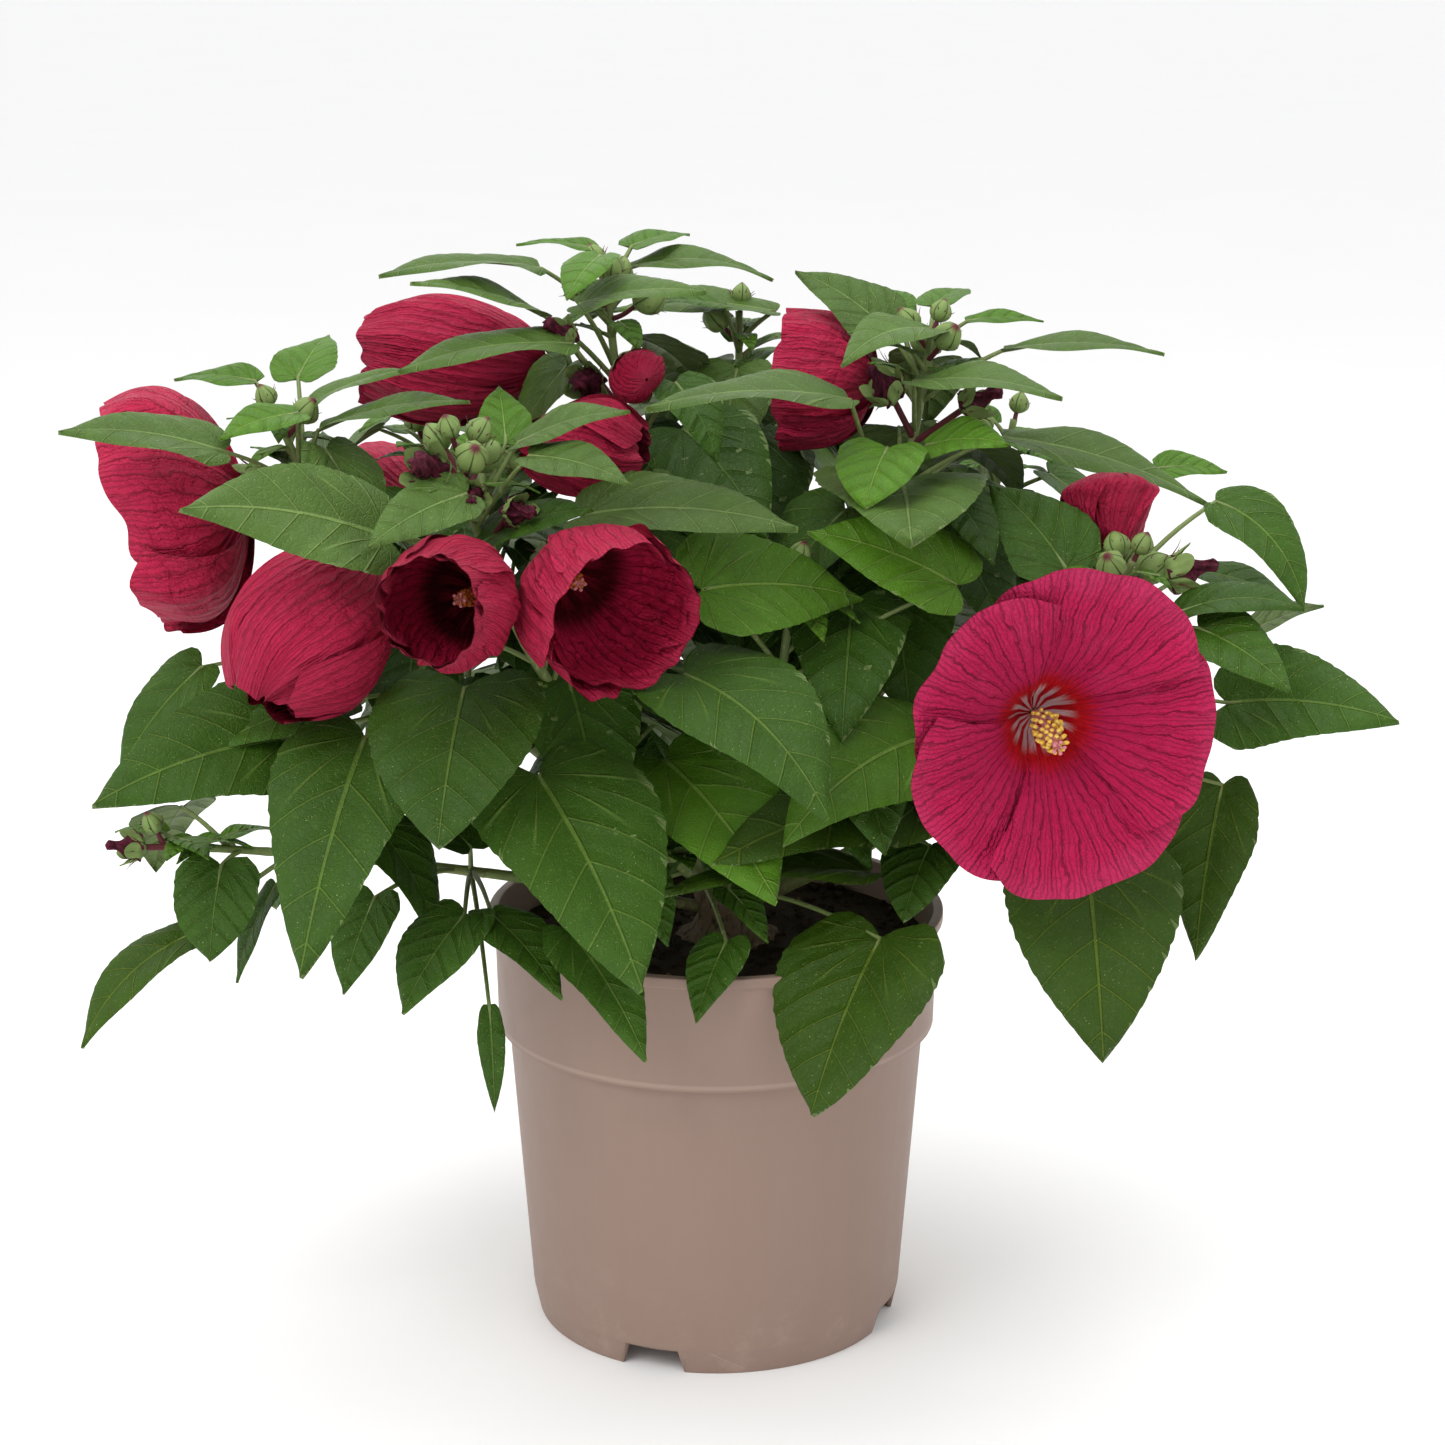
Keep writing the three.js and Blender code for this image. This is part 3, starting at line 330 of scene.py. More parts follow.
def lump(at, sizes, turned, rows=6, cols=8, rough=0.18):
    """A small closed lump, rounded or long, that stands on its own squashed poles."""
    up = np.linspace(0.04, np.pi - 0.04, rows)[:, None]
    way = np.linspace(0, 2 * np.pi, cols, endpoint=False)[None, :]
    size = 1 + rough * (luck.random((rows, cols)) - 0.5)
    ball = np.stack([np.sin(up) * np.cos(way), np.sin(up) * np.sin(way), np.cos(up) + 0 * way], axis=-1)
    ball = ball * size[..., None] * np.array(sizes)
    c, s = math.cos(turned), math.sin(turned)
    return np.array(at) + ball @ np.array([[c, s, 0], [-s, c, 0], [0, 0, 1]])


crumbs = []
for _ in range(CRUMBS["count"]):
    radius, angle = CRUMBS["within"] * math.sqrt(luck.random()), 2 * np.pi * luck.random()
    size = CRUMBS["least"] + CRUMBS["gain"] * luck.random() ** 2
    long = 1 + CRUMBS["longer"] * luck.random() ** 3
    at = (radius * math.cos(angle), radius * math.sin(angle), ground(radius) + 0.6 + 0.3 * size)
    grain_of_soil = lump(at, (size * long, size, size * 0.7), 6 * luck.random())
    crumbs.append(patch(grain_of_soil, closed=True, place=np.array([luck.random(), 0, 0])))

compost, place = new_finish("moist_compost", 0.95, 0.2)
tone = place.mark().parts()[0]
bits = place.noise(900, detail=4, roughness=0.75)
colour = (tone.step(0.9, 0.97) * 0.8).mix(bits.step(0.42, 0.75).mix(SOIL_BROWN, CRUMB_BROWN), FIBRE_BROWN)
coat_with(compost, colour, relief=bits + place.noise(260, detail=3), depth=0.0012)
join("compost", [patch(np.array(soil_rows), closed=True)] + crumbs, compost, "soil", "soil")


# The woody crown that every stem grows from: grey-brown bark, fissured along its length, with
# the knobbly bases of last year's stems. It stands on the compost.

CROWN = {"x": 6, "y": -4, "foot": 199.3, "height": 34, "lean": 3, "rows": 40, "columns": 72}
CROWN_WIDTHS = ((0, 0.12, 0.4, 0.75, 1), (25, 19, 14.5, 14, 8))
BARK = (0.16, 0.115, 0.07, 1)
BARK_DARK = (0.055, 0.038, 0.024, 1)
BARK_PALE = (0.29, 0.24, 0.17, 1)

rise = np.linspace(0, 1, CROWN["rows"])[:, None]
turn = np.linspace(0, 2 * np.pi, CROWN["columns"], endpoint=False)[None, :]
width = np.interp(rise, *CROWN_WIDTHS)
ring = np.interp(rise, CROWN_WIDTHS[0], range(5))
fissures = 0.055 * np.abs(np.sin(8 * turn + 2.2 * np.sin(5 * rise))) + 0.03 * np.sin(17 * turn + 9 * rise)
width = width * (0.97 + 0.12 * np.sin(3 * turn + ring) + fissures * np.minimum(1, 6 * (1.02 - rise)))
crown_points = np.stack([
    CROWN["x"] + width * np.cos(turn) - CROWN["lean"] * rise,
    CROWN["y"] + width * np.sin(turn),
    CROWN["foot"] + CROWN["height"] * rise + 0 * turn], axis=-1)
crown_top = np.array([crown_points[-1] * (1 - t) + crown_points[-1].mean(axis=0) * t for t in (0.5, 0.97)])
crown_foot = np.array([crown_points[0] * (1 - t) + crown_points[0].mean(axis=0) * t for t in (0.97, 0.5)])

bark, place = new_finish("crown_bark", 0.85, 0.25)
cracks = (place * (1, 1, 0.22)).noise(330, detail=5, roughness=0.65)
colour = cracks.step(0.52, 0.36).mix(BARK, BARK_DARK)
colour = (place.noise(140, detail=4).step(0.55, 0.75) * 0.7).mix(colour, BARK_PALE)
coat_with(bark, colour, relief=cracks, depth=0.0016)
join("woody_crown", [patch(np.concatenate([crown_foot, crown_points, crown_top]), closed=True)],
     bark, "bark", "crown")


# The stems: soft green limbs, browner and faintly ridged near the crown, each a smooth taper
# from the crown to its tip. Below its foliage a stem stands for the CAD limb of its name.

STEM = {"tip_radius": 1.9, "pull": 0.36, "inset": 6, "lowest": 0.3, "spread": 0.6, "overlap": 0.004,
        "joints": 11, "swell": 0.09, "ridges": 0.03, "sides": 14, "bare_rows": 34, "leafy_rows": 70}
# Each row: the stem's tip x, y, z, its radius at the crown, the slopes at which it leaves the crown
# and reaches its tip, the side of the crown that it grows on, how far up its foliage starts, and
# how many buds and how many leaves by the seeded rule it has.
SHOOT_FIELDS = ("tip", "radius", "launch", "arrive", "side", "leafy", "buds", "wild")
SHOOT_ROWS = {
    "front_left": ((-118, -104, 470), 3.8, 48, 80, 236, 0.3, 5, 0),
    "right": ((199, -52, 404), 4.6, 24, 66, 330, 0.4, 4, 6),
    "centre": ((38, -46, 398), 3.4, 64, 80, 300, 0.24, 1, 2),
    "low_left": ((-272, -58, 264), 3.2, 14, 6, 214, 0.42, 1, 3),
    "front_low": ((-22, -84, 268), 3, 34, 40, 262, 0.3, 0, 1),
    "left": ((-212, -18, 470), 3.8, 40, 70, 196, 0.4, 3, 7),
    "right_back": ((106, 26, 504), 4, 62, 84, 32, 0.4, 4, 9),
    "back_high": ((-55, 40, 530), 4, 66, 82, 150, 0.42, 5, 9),
    "back_tip": ((12, 120, 500), 3.4, 58, 84, 80, 0.4, 2, 13),
    "rear_right": ((158, 138, 440), 3.6, 44, 74, 52, 0.36, 2, 17),
    "rear_left": ((-160, 140, 446), 3.6, 46, 74, 128, 0.36, 2, 17),
    "rear_middle": ((-2, 214, 384), 3.4, 30, 66, 102, 0.34, 2, 17),
}
SHOOTS = {name: dict(zip(SHOOT_FIELDS, row)) for name, row in SHOOT_ROWS.items()}
STEM_GREEN = (0.155, 0.215, 0.062, 1)
STEM_BROWN = (0.17, 0.125, 0.065, 1)
STEM_PALE = (0.30, 0.33, 0.14, 1)
UP = np.array([0, 0, 1.0])


def direction(heading, pitch):
    """The way that a compass heading and a slope above the level give, both in degrees."""
    heading, pitch = math.radians(heading), math.radians(pitch)
    level = math.cos(pitch)
    return np.array([level * math.cos(heading), level * math.sin(heading), math.sin(pitch)])


def unit(vector):
    return vector / np.linalg.norm(vector, axis=-1, keepdims=True)


def along_curve(handles, share):
    """Points at these shares of a curve with four handles."""
    t = np.asarray(share, float)[..., None]
    a, b, c, d = handles
    return (1 - t) ** 3 * a + 3 * (1 - t) ** 2 * t * b + 3 * (1 - t) * t * t * c + t ** 3 * d


def way_of_curve(handles, share):
    """The way that the curve runs at these shares of it."""
    share = np.asarray(share, float)
    after = along_curve(handles, np.minimum(share + 1e-4, 1))
    before = along_curve(handles, np.maximum(share - 1e-4, 0))
    return unit(after - before)


def tube(points, radii, sides=10, tone=0, ridges=0):
    """A tapering tube through these points, with its ends drawn in."""
    points = np.asarray(points, float)
    ways = unit(np.gradient(points, axis=0))
    across = unit(np.cross(ways[0], (0.31, 0.2, 0.93) if abs(ways[0][2]) < 0.9 else (1, 0.1, 0)))
    angle = np.linspace(0, 2 * np.pi, sides, endpoint=False)
    run = np.concatenate([[0], np.cumsum(np.linalg.norm(np.diff(points, axis=0), axis=1))])
    rows, place = [], []
    for point, way, radius, far in zip(points, ways, radii, run):
        across = unit(across - way * across.dot(way))
        over = np.cross(way, across)
        reach = radius * (1 + ridges * np.sin(5 * angle + far * 0.02))
        rows.append(point + np.outer(reach * np.cos(angle), across) + np.outer(reach * np.sin(angle), over))
        place.append(np.stack([angle, np.full(sides, far), np.full(sides, tone)], axis=1))
    rows = [rows[0] * 0.04 + points[0] * 0.96] + rows + [rows[-1] * 0.04 + points[-1] * 0.96]
    return patch(np.array(rows), closed=True, place=np.array([place[0]] + place + [place[-1]]))


for shoot in SHOOTS.values():
    lift = STEM["lowest"] + STEM["spread"] * math.sin(math.radians(shoot["launch"]))
    foot = np.array([CROWN["x"], CROWN["y"], CROWN["foot"] + CROWN["height"] * lift])
    foot = foot + direction(shoot["side"], 0) * STEM["inset"]
    tip = np.array(shoot["tip"], float)
    span = np.linalg.norm(tip - foot)
    heading = math.degrees(math.atan2(tip[1] - foot[1], tip[0] - foot[0]))
    near = foot + direction(heading, shoot["launch"]) * span * STEM["pull"]
    far = tip - direction(heading, shoot["arrive"]) * span * STEM["pull"]
    shoot["route"] = (foot, near, far, tip)


def stem_part(shoot, start, end, rows):
    """A stretch of a stem, a little swollen at each joint where a leaf stands."""
    share = np.linspace(start, end, rows)
    radii = shoot["radius"] + (STEM["tip_radius"] - shoot["radius"]) * share
    at_joint = np.maximum(0, np.cos(2 * np.pi * share * STEM["joints"])) ** 8
    radii = radii * (0.97 + STEM["swell"] * at_joint)
    line = along_curve(shoot["route"], share)
    return tube(line, radii, STEM["sides"], tone=start, ridges=STEM["ridges"])


limbs = [stem_part(shoot, 0, shoot["leafy"] + STEM["overlap"], STEM["bare_rows"])
         for shoot in SHOOTS.values()]

stem_skin, place = new_finish("green_stem_skin", 0.55, 0.35)
_, far_along, _ = place.mark().parts()
streaks = (place * (1, 1, 0.3)).noise(420, detail=4)
woody = far_along.step(70, 10) * place.parts()[2].step(0.26, 0.21)
colour = (streaks.step(0.5, 0.3) * 0.35 + woody * 0.65).mix(STEM_GREEN, STEM_BROWN)
colour = streaks.step(0.55, 0.75).mix(colour, STEM_PALE)
coat_with(stem_skin, colour, relief=streaks + place.noise(900) * 0.4, depth=0.0004)
join("lower_stems", limbs, stem_skin, "stem", *(f"stem_{name}" for name in SHOOTS))


# The leaves: long-stalked, toothed, heart-shaped or lobed at the base, quilted between their
# veins, dull green above and paler beneath. Each stands where its solid does: it is drawn by the
# same rows and the same seeded rule, and shown only where the foliage of its stem has its corners.

LEAF = {"fold": 16, "bend": 26, "lobe": 0.06, "same_place": 2e-5, "corners": 2}
VEINS = {"pairs": 4.6, "slope": 0.8, "curve": 0.5}
TEETH = ((80, 12), (50, 9), (0, 6))
COARSE_TEETH = 5
ROWS_ACROSS = (
    (96, ((0.2, 0.96), (0.5, 0.86), (0.78, 0.42))),
    (46, ((0.24, 1), (0.62, 0.7))),
    (0, ((0.34, 1),)),
)
PETIOLE = {"radii": (1.5, 1.05), "leave": 48, "bow": 0.05, "points": 9, "sides": 6}
BENDS = (0, 4, -4, 8, -8, 12, -12, 16, -16)
TURNS = (0, 12, -12, 24, -24, 36, -36)
WILD = {"first": 0.08, "last": 0.08, "turn": 137.5, "stray": 90, "shrink": 0.42, "size_spread": 0.16,
        "stalk": 44, "stalk_low": 1.4, "stalk_shrink": 0.8, "stalk_pitch": -8, "stalk_pitch_spread": 44,
        "heading_spread": 30, "pitch": -22, "pitch_spread": 38, "blade": 104, "width": 0.72,
        "roll_spread": 16, "bend_spread": 16, "draws": 30}
SEED = {"first": 7, "step": 13}
# Each row: the foot of the blade x, y, z, the heading and slope of its midrib, its length and
# width, its roll, and its bend where that isn't the usual one.
LEAVES = {
    "back_high": (
        (-85, 20, 534, -152, 1, 86, 34, -8), (-84, 8, 513, -146, 16, 76, 34, -14),
        (-62, 46, 541, 172, 2, 38, 22, -5), (-56, 14, 541, -108, -18, 50, 28, 0),
        (-66, 2, 519, -22, 8, 68, 36, 18), (-42, 60, 530, 8, -6, 74, 30, 12, 44),
        (-42, 62, 540, 46, 4, 42, 24, 8), (-70, -12, 502, -154, -5, 90, 42, -12),
    ),
    "back_tip": (
        (30, 118, 500, 184, 1, 86, 42, -12), (4, 96, 506, -160, 4, 44, 24, -10),
    ),
    "front_left": (
        (-90, -92, 468, -20, 18, 58, 32, 22), (-84, -110, 465, -32, -8, 56, 30, 22),
        (-97, -80, 466, 98, 26, 46, 26, 0), (-112, -130, 451, -140, -18, 57, 34, -34),
        (-150, -122, 430, -150, 13, 100, 60, -46), (-60, -70, 430, -18, 8, 104, 60, 20),
        (-108, -104, 423, -30, 20, 66, 36, 30), (-116, -114, 357, -96, -38, 90, 78, 0),
        (-163, -108, 332, -106, -47, 124, 72, 0), (-82, -118, 316, -54, -44, 118, 90, 6),
    ),
    "left": (
        (-230, -74, 461, -161, 10, 76, 40, -24), (-224, 0, 482, 160, -2, 45, 24, -15),
        (-206, 24, 480, 78, 16, 52, 34, 0), (-198, -42, 473, -134, -8, 48, 26, -20),
        (-196, -18, 473, -11, 20, 56, 24, 15), (-190, -30, 463, -22, 13, 84, 30, 15),
        (-189, 4, 424, 100, 18, 70, 50, 0), (-250, -38, 348, -150, -48, 68, 40, -20),
        (-176, -78, 342, -154, -10, 72, 42, -20), (-200, -90, 327, -145, -9, 104, 66, -40),
    ),
    "right_back": (
        (64, -32, 478, -153, 2, 110, 44, -10), (84, 40, 502, 155, 28, 56, 38, -30),
        (90, 62, 508, 124, 10, 54, 32, 0), (109, 52, 512, 62, 4, 44, 26, 0),
        (104, 14, 505, -135, -10, 66, 36, -12, 50), (124, 30, 507, 0, 0, 38, 18, 15),
        (141, 20, 494, -15, 1, 80, 30, 8), (96, -2, 482, -36, 0, 84, 38, 10),
        (82, -34, 455, -106, -24, 50, 44, 0), (102, -20, 454, -48, 8, 54, 32, 30),
        (142, 24, 450, -6, -17, 108, 42, 16), (90, 0, 433, -90, -5, 104, 84, 0),
    ),
    "right": (
        (244, -8, 424, -40, -42, 74, 36, 24, 70), (236, 0, 388, -24, -14, 56, 32, 10),
        (220, -66, 382, -30, 8, 64, 36, 20, 44), (256, -40, 366, 14, 16, 42, 28, -46),
        (227, -82, 378, -48, -20, 60, 36, 30), (246, -60, 336, -32, 2, 86, 58, 44),
        (243, -70, 298, -120, -72, 86, 46, 0), (177, -86, 266, -89, -43, 108, 84, 0),
        (167, -48, 400, 134, 34, 60, 46, -30),
    ),
    "rear_right": (
        (226, 60, 428, -4, -2, 34, 26, 20),
    ),
    "low_left": (
        (-240, -62, 255, -99, -60, 48, 44, 0), (-254, -48, 217, -150, -38, 84, 36, -14, 56),
        (-216, -48, 240, -150, -64, 52, 26, 0), (-163, -88, 247, -116, -52, 50, 36, 0),
        (-119, -102, 243, -124, -36, 60, 46, 0), (-119, -60, 264, 140, 22, 44, 34, 0),
        (-106, -104, 244, -50, -26, 62, 36, 0), (-107, -118, 204, -78, -76, 52, 14, 0),
    ),
    "centre": (
        (114, -60, 394, 180, 20, 76, 52, -44), (-6, -88, 398, 22, -8, 84, 60, 46),
        (-14, -112, 363, -43, -30, 106, 80, 10, 50), (102, -70, 322, -138, -20, 104, 60, -38, 44),
        (101, -57, 288, -147, -6, 124, 64, -28), (-24, -62, 308, -52, -30, 100, 76, 12),
        (6, -80, 249, -50, -33, 36, 24, 0),
        (104, -58, 264, -112, -34, 48, 40, 0),
    ),
    "front_low": (
        (-68, -116, 239, -52, -38, 76, 44, 0), (5, -100, 229, -112, -36, 48, 30, 0),
        (-38, -94, 262, -58, -43, 42, 30, 0), (78, -104, 232, -122, -47, 94, 80, 0),
        (74, -80, 257, -160, 5, 108, 50, 0),
    ),
}
INNER_LEAVES = {
    "centre": (
        (20, -62, 368, -112, -48, 88, 64, -8), (66, -36, 380, -60, -46, 84, 60, 0),
        (4, -40, 322, -120, -48, 84, 62, 0), (60, -58, 330, -70, -50, 80, 60, 0),
    ),
    "front_left": (
        (-70, -70, 350, -80, -50, 84, 60, 0),
    ),
    "left": (
        (-148, -22, 358, -112, -44, 80, 58, 0), (-178, 8, 392, -96, -30, 74, 54, 0),
        (-120, -20, 320, -104, -46, 84, 60, 0),
    ),
    "right_back": (
        (78, 4, 446, -122, -36, 84, 60, -14), (86, 2, 384, -82, -46, 84, 60, 0),
        (58, 12, 350, -104, -40, 90, 64, 0), (112, 20, 410, -60, -40, 80, 56, 0),
    ),
    "back_high": (
        (-16, 36, 452, -54, -32, 84, 60, 20), (-12, 36, 408, -66, -44, 84, 60, 6),
        (-40, 8, 400, -104, -44, 84, 62, 0), (-66, 14, 340, -124, -44, 92, 66, 0),
        (-84, 24, 440, -150, -30, 80, 54, 0),
    ),
    "back_tip": (
        (20, 88, 440, -84, -40, 84, 60, 0), (24, 60, 392, -84, -44, 84, 62, 0),
        (-16, 96, 440, -120, -30, 80, 56, 0),
    ),
}


def blade_frame(leaf, share):
    """Where a blade's midrib is at these shares of its length, and its axes there."""
    foot, heading, pitch, length, _, roll, bend = leaf
    share = np.asarray(share, float)
    bend = math.radians(bend)
    start = math.radians(pitch) + bend / 2
    here = start - bend * share
    out = length * (math.sin(start) - np.sin(here)) / bend
    up = length * (np.cos(here) - math.cos(start)) / bend
    ahead, level = direction(heading, 0), direction(heading + 90, 0)
    point = foot + out[..., None] * ahead + up[..., None] * UP
    along = np.cos(here)[..., None] * ahead + np.sin(here)[..., None] * UP
    lift = np.cross(along, level)
    side = level * math.cos(math.radians(roll)) + lift * math.sin(math.radians(roll))
    return point, along, side, np.cross(along, side)


def solid_corners(leaf):
    """The outer corners that the leaf's solid has: its tip, and its edges at each row."""
    rows = next(across for least, across in ROWS_ACROSS if leaf[3] >= least)
    corners = [blade_frame(leaf, 1)[0]]
    folded_rows = [((-LEAF["lobe"], 0.5), LEAF["fold"] / 2)] + [(row, LEAF["fold"]) for row in rows]
    for (share, reach), fold in folded_rows:
        point, _, side, face = blade_frame(leaf, share)
        half = leaf[4] / 2 * reach
        turned = math.radians(fold)
        corners += [point + side * hand * math.cos(turned) * half + face * math.sin(turned) * half
                    for hand in (1, -1)]
    return corners


def corner_tree(name):
    """The corners of a solid, for finding the one nearest to a place."""
    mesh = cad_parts[name].data
    tree = kdtree.KDTree(len(mesh.vertices))
    for i, vertex in enumerate(mesh.vertices):
        tree.insert(vertex.co, i)
    tree.balance()
    return tree


def stands_in(tree, leaf):
    """Whether the solid has this leaf: enough of the leaf's corners are corners of the solid."""
    near = [tree.find(Vector(corner * 0.001))[2] < LEAF["same_place"] for corner in solid_corners(leaf)]
    return sum(near) >= LEAF["corners"]


def stated_leaf(row, turned, bent):
    """The leaf of a row, turned and bent by so many degrees to stand clear as the solid's does."""
    x, y, z, heading, pitch, length, width, roll = row[:8]
    bend = row[8] if len(row) > 8 else LEAF["bend"]
    return np.array([x, y, z], float), heading + turned, pitch + bent, length, width, roll, bend


def seeded(seed):
    """Numbers from 0 to 1, the same on every run."""
    state = seed
    while True:
        state = state * 16807 % 2147483647
        yield state / 2147483647


def turned_on(shoot, i, draw):
    """The heading of a stem's leaf by its number, a golden turn from the one before."""
    return shoot["side"] + WILD["turn"] * i + WILD["stray"] * (next(draw) - 0.5)


def wild_leaf(shoot, i, draw):
    """A leaf by the seeded rule, the smaller the nearer it stands to the stem's tip."""
    room = 1 - WILD["first"] - WILD["last"] - shoot["leafy"]
    share = shoot["leafy"] + WILD["first"] + room * (i / max(shoot["wild"] - 1, 1))
    heading = turned_on(shoot, i, draw)
    size = 1 - WILD["shrink"] * share + WILD["size_spread"] * (next(draw) - 0.5)
    way = direction(heading, WILD["stalk_pitch_spread"] * next(draw) + WILD["stalk_pitch"])
    foot = along_curve(shoot["route"], share)
    foot = foot + way * WILD["stalk"] * (WILD["stalk_low"] - WILD["stalk_shrink"] * share)
    heading += WILD["heading_spread"] * (next(draw) - 0.5)
    pitch = WILD["pitch"] - WILD["pitch_spread"] * next(draw)
    length = WILD["blade"] * size
    roll = WILD["roll_spread"] * (next(draw) - 0.5)
    bend = LEAF["bend"] + WILD["bend_spread"] * next(draw)
    return foot, heading, pitch, length, length * WILD["width"], roll, bend


def between(limits, draw):
    """The next draw of the seeded rule, spread between two limits."""
    return limits[0] + (limits[1] - limits[0]) * next(draw)


standing = []
for order, (name, shoot) in enumerate(SHOOTS.items()):
    tree = corner_tree(f"foliage_{name}")
    for rows, turns, sort in ((LEAVES, (0,), "stated"), (INNER_LEAVES, TURNS, "shaded")):
        for row in rows.get(name, ()):
            trials = (stated_leaf(row, turned, bent) for turned in turns for bent in BENDS)
            found = next((leaf for leaf in trials if stands_in(tree, leaf)), None)
            if found:
                standing.append((name, found, sort))
    draw = seeded(SEED["first"] + SEED["step"] * order)
    for i in range(shoot["wild"]):
        for _ in range(WILD["draws"]):
            leaf = wild_leaf(shoot, i, draw)
            if stands_in(tree, leaf):
                standing.append((name, leaf, "wild"))
                break


def stalk_root(shoot, place, angle):
    """Where on the stem a stalk to this place leaves, at about its usual angle from the stem."""
    shares = np.arange(shoot["leafy"] + 0.03, 0.97, 0.01)
    way = place - along_curve(shoot["route"], shares)
    far = np.linalg.norm(way, axis=1)
    along = (way * way_of_curve(shoot["route"], shares)).sum(axis=1) / far
    turned = np.degrees(np.arccos(np.clip(along, -1, 1)))
    return along_curve(shoot["route"], shares[np.argmin(np.abs(turned - angle) + 0.12 * far)])


# Smaller leaves of the same rule stand in the shade between those, wherever one fits that
# crosses no solid and no other shaded leaf, and stays within the crown.
SHADE = {"each": 12, "draws": 40, "blade": (46, 84), "width": 0.72, "bend": 36, "pitch": (-66, -24),
         "stalk": (18, 50), "low": 232, "below_tip": 45, "inside": (-225, 228, -100, 205)}

# The first tree holds the solids and the second the shaded leaves that already stand.
crowd_points, crowd_faces = [], []
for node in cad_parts.values():
    first = len(crowd_points)
    crowd_points += [vertex.co.copy() for vertex in node.data.vertices]
    crowd_faces += [tuple(first + i for i in face.vertices) for face in node.data.polygons]
crowd = [BVHTree.FromPolygons(crowd_points, crowd_faces), None]
shade_points, shade_faces = [], []


def rough_sheet(leaf):
    """A blade as a few points across and along it, in metres."""
    share = np.array([0.0, 0.3, 0.6, 0.85, 1.0])[:, None]
    across = np.array([-0.95, -0.5, 0, 0.5, 0.95])[None, :] * np.array([0.8, 1, 0.8, 0.4, 0.02])[:, None]
    point, _, side, face = blade_frame(leaf, share + 0 * across)
    out = across * leaf[4] / 2
    return (point + side * out[..., None] + face * 0.22 * np.abs(out)[..., None]) * 0.001


def crosses(start, end):
    """Whether a line meets a solid or a shaded leaf."""
    start, way = Vector(start), Vector(end) - Vector(start)
    return any(tree and tree.ray_cast(start, way, way.length)[0] is not None for tree in crowd)


def fits(sheet, root, foot):
    """Whether a blade and its stalk meet nothing that stands already."""
    lines = [(a, b) for row in sheet for a, b in zip(row, row[1:])]
    lines += [(a, b) for col in sheet.transpose(1, 0, 2) for a, b in zip(col, col[1:])]
    return not any(crosses(a, b) for a, b in lines) and not crosses(root + (foot - root) * 0.25, foot)


draw = seeded(SEED["first"])
for name, shoot in SHOOTS.items():
    for i in range(SHADE["each"]):
        for _ in range(SHADE["draws"]):
            share = shoot["leafy"] + 0.02 + (0.8 - shoot["leafy"]) * next(draw)
            heading = turned_on(shoot, i, draw)
            far = between(SHADE["stalk"], draw)
            foot = along_curve(shoot["route"], share) + direction(heading, 40 * next(draw) - 10) * far
            length, pitch = between(SHADE["blade"], draw), between(SHADE["pitch"], draw)
            roll = WILD["roll_spread"] * (next(draw) - 0.5)
            leaf = (foot, heading, pitch, length, length * SHADE["width"], roll, SHADE["bend"])
            sheet = rough_sheet(leaf)
            low, high = sheet.min(axis=(0, 1)) * 1000, sheet.max(axis=(0, 1)) * 1000
            left, right, front, back = SHADE["inside"]
            inside = (low > (left, front, SHADE["low"])).all()
            inside = inside and (high < (right, back, shoot["tip"][2] - SHADE["below_tip"])).all()
            root = stalk_root(shoot, foot, PETIOLE["leave"]) * 0.001
            if inside and fits(sheet, root, foot * 0.001):
                standing.append((name, leaf, "shaded"))
                corners = [len(shade_points) + 5 * r + c for r in range(4) for c in range(4)]
                shade_points += [Vector(point) for point in sheet.reshape(-1, 3)]
                shade_faces += [(corner, corner + 1, corner + 6, corner + 5) for corner in corners]
                crowd[1] = BVHTree.FromPolygons(shade_points, shade_faces)
                break


# A few small young leaves stand round each tip, under its buds.
YOUNG = {"each": 7, "draws": 12, "first": 0.9, "last": 0.985, "stalk": (5, 13), "blade": (20, 38),
         "width": 0.58, "bend": 40, "pitch": (-26, 24)}

for name, shoot in SHOOTS.items():
    for i in range(YOUNG["each"]):
        for _ in range(YOUNG["draws"]):
            share = YOUNG["first"] + (YOUNG["last"] - YOUNG["first"]) * i / YOUNG["each"]
            heading = turned_on(shoot, i, draw)
            far = between(YOUNG["stalk"], draw)
            foot = along_curve(shoot["route"], share) + direction(heading, 30) * far
            length, pitch = between(YOUNG["blade"], draw), between(YOUNG["pitch"], draw)
            leaf = (foot, heading, pitch, length, length * YOUNG["width"], 0, YOUNG["bend"])
            sheet = rough_sheet(leaf)
            if fits(sheet, foot * 0.001, foot * 0.001 + 0.0001) and sheet[..., 0].min() > cad_box[0][0]:
                standing.append((name, leaf, "young"))
                break


def outline(share, narrow, fullness):
    """How wide a blade is at a share of its length, as a part of its greatest width. A broad
    blade is a heart, the rounder the broader it is, and a narrow one a spindle."""
    taper = np.clip(share - 0.2, 0, 1) / 0.8
    heart = 1 - taper ** fullness
    spindle = (1 - taper ** 1.9) * (0.52 + 0.48 * np.clip((share + 0.02) / 0.3, 0, 1) ** 0.7)
    return np.clip(heart + (spindle - heart) * narrow, 0, 1)


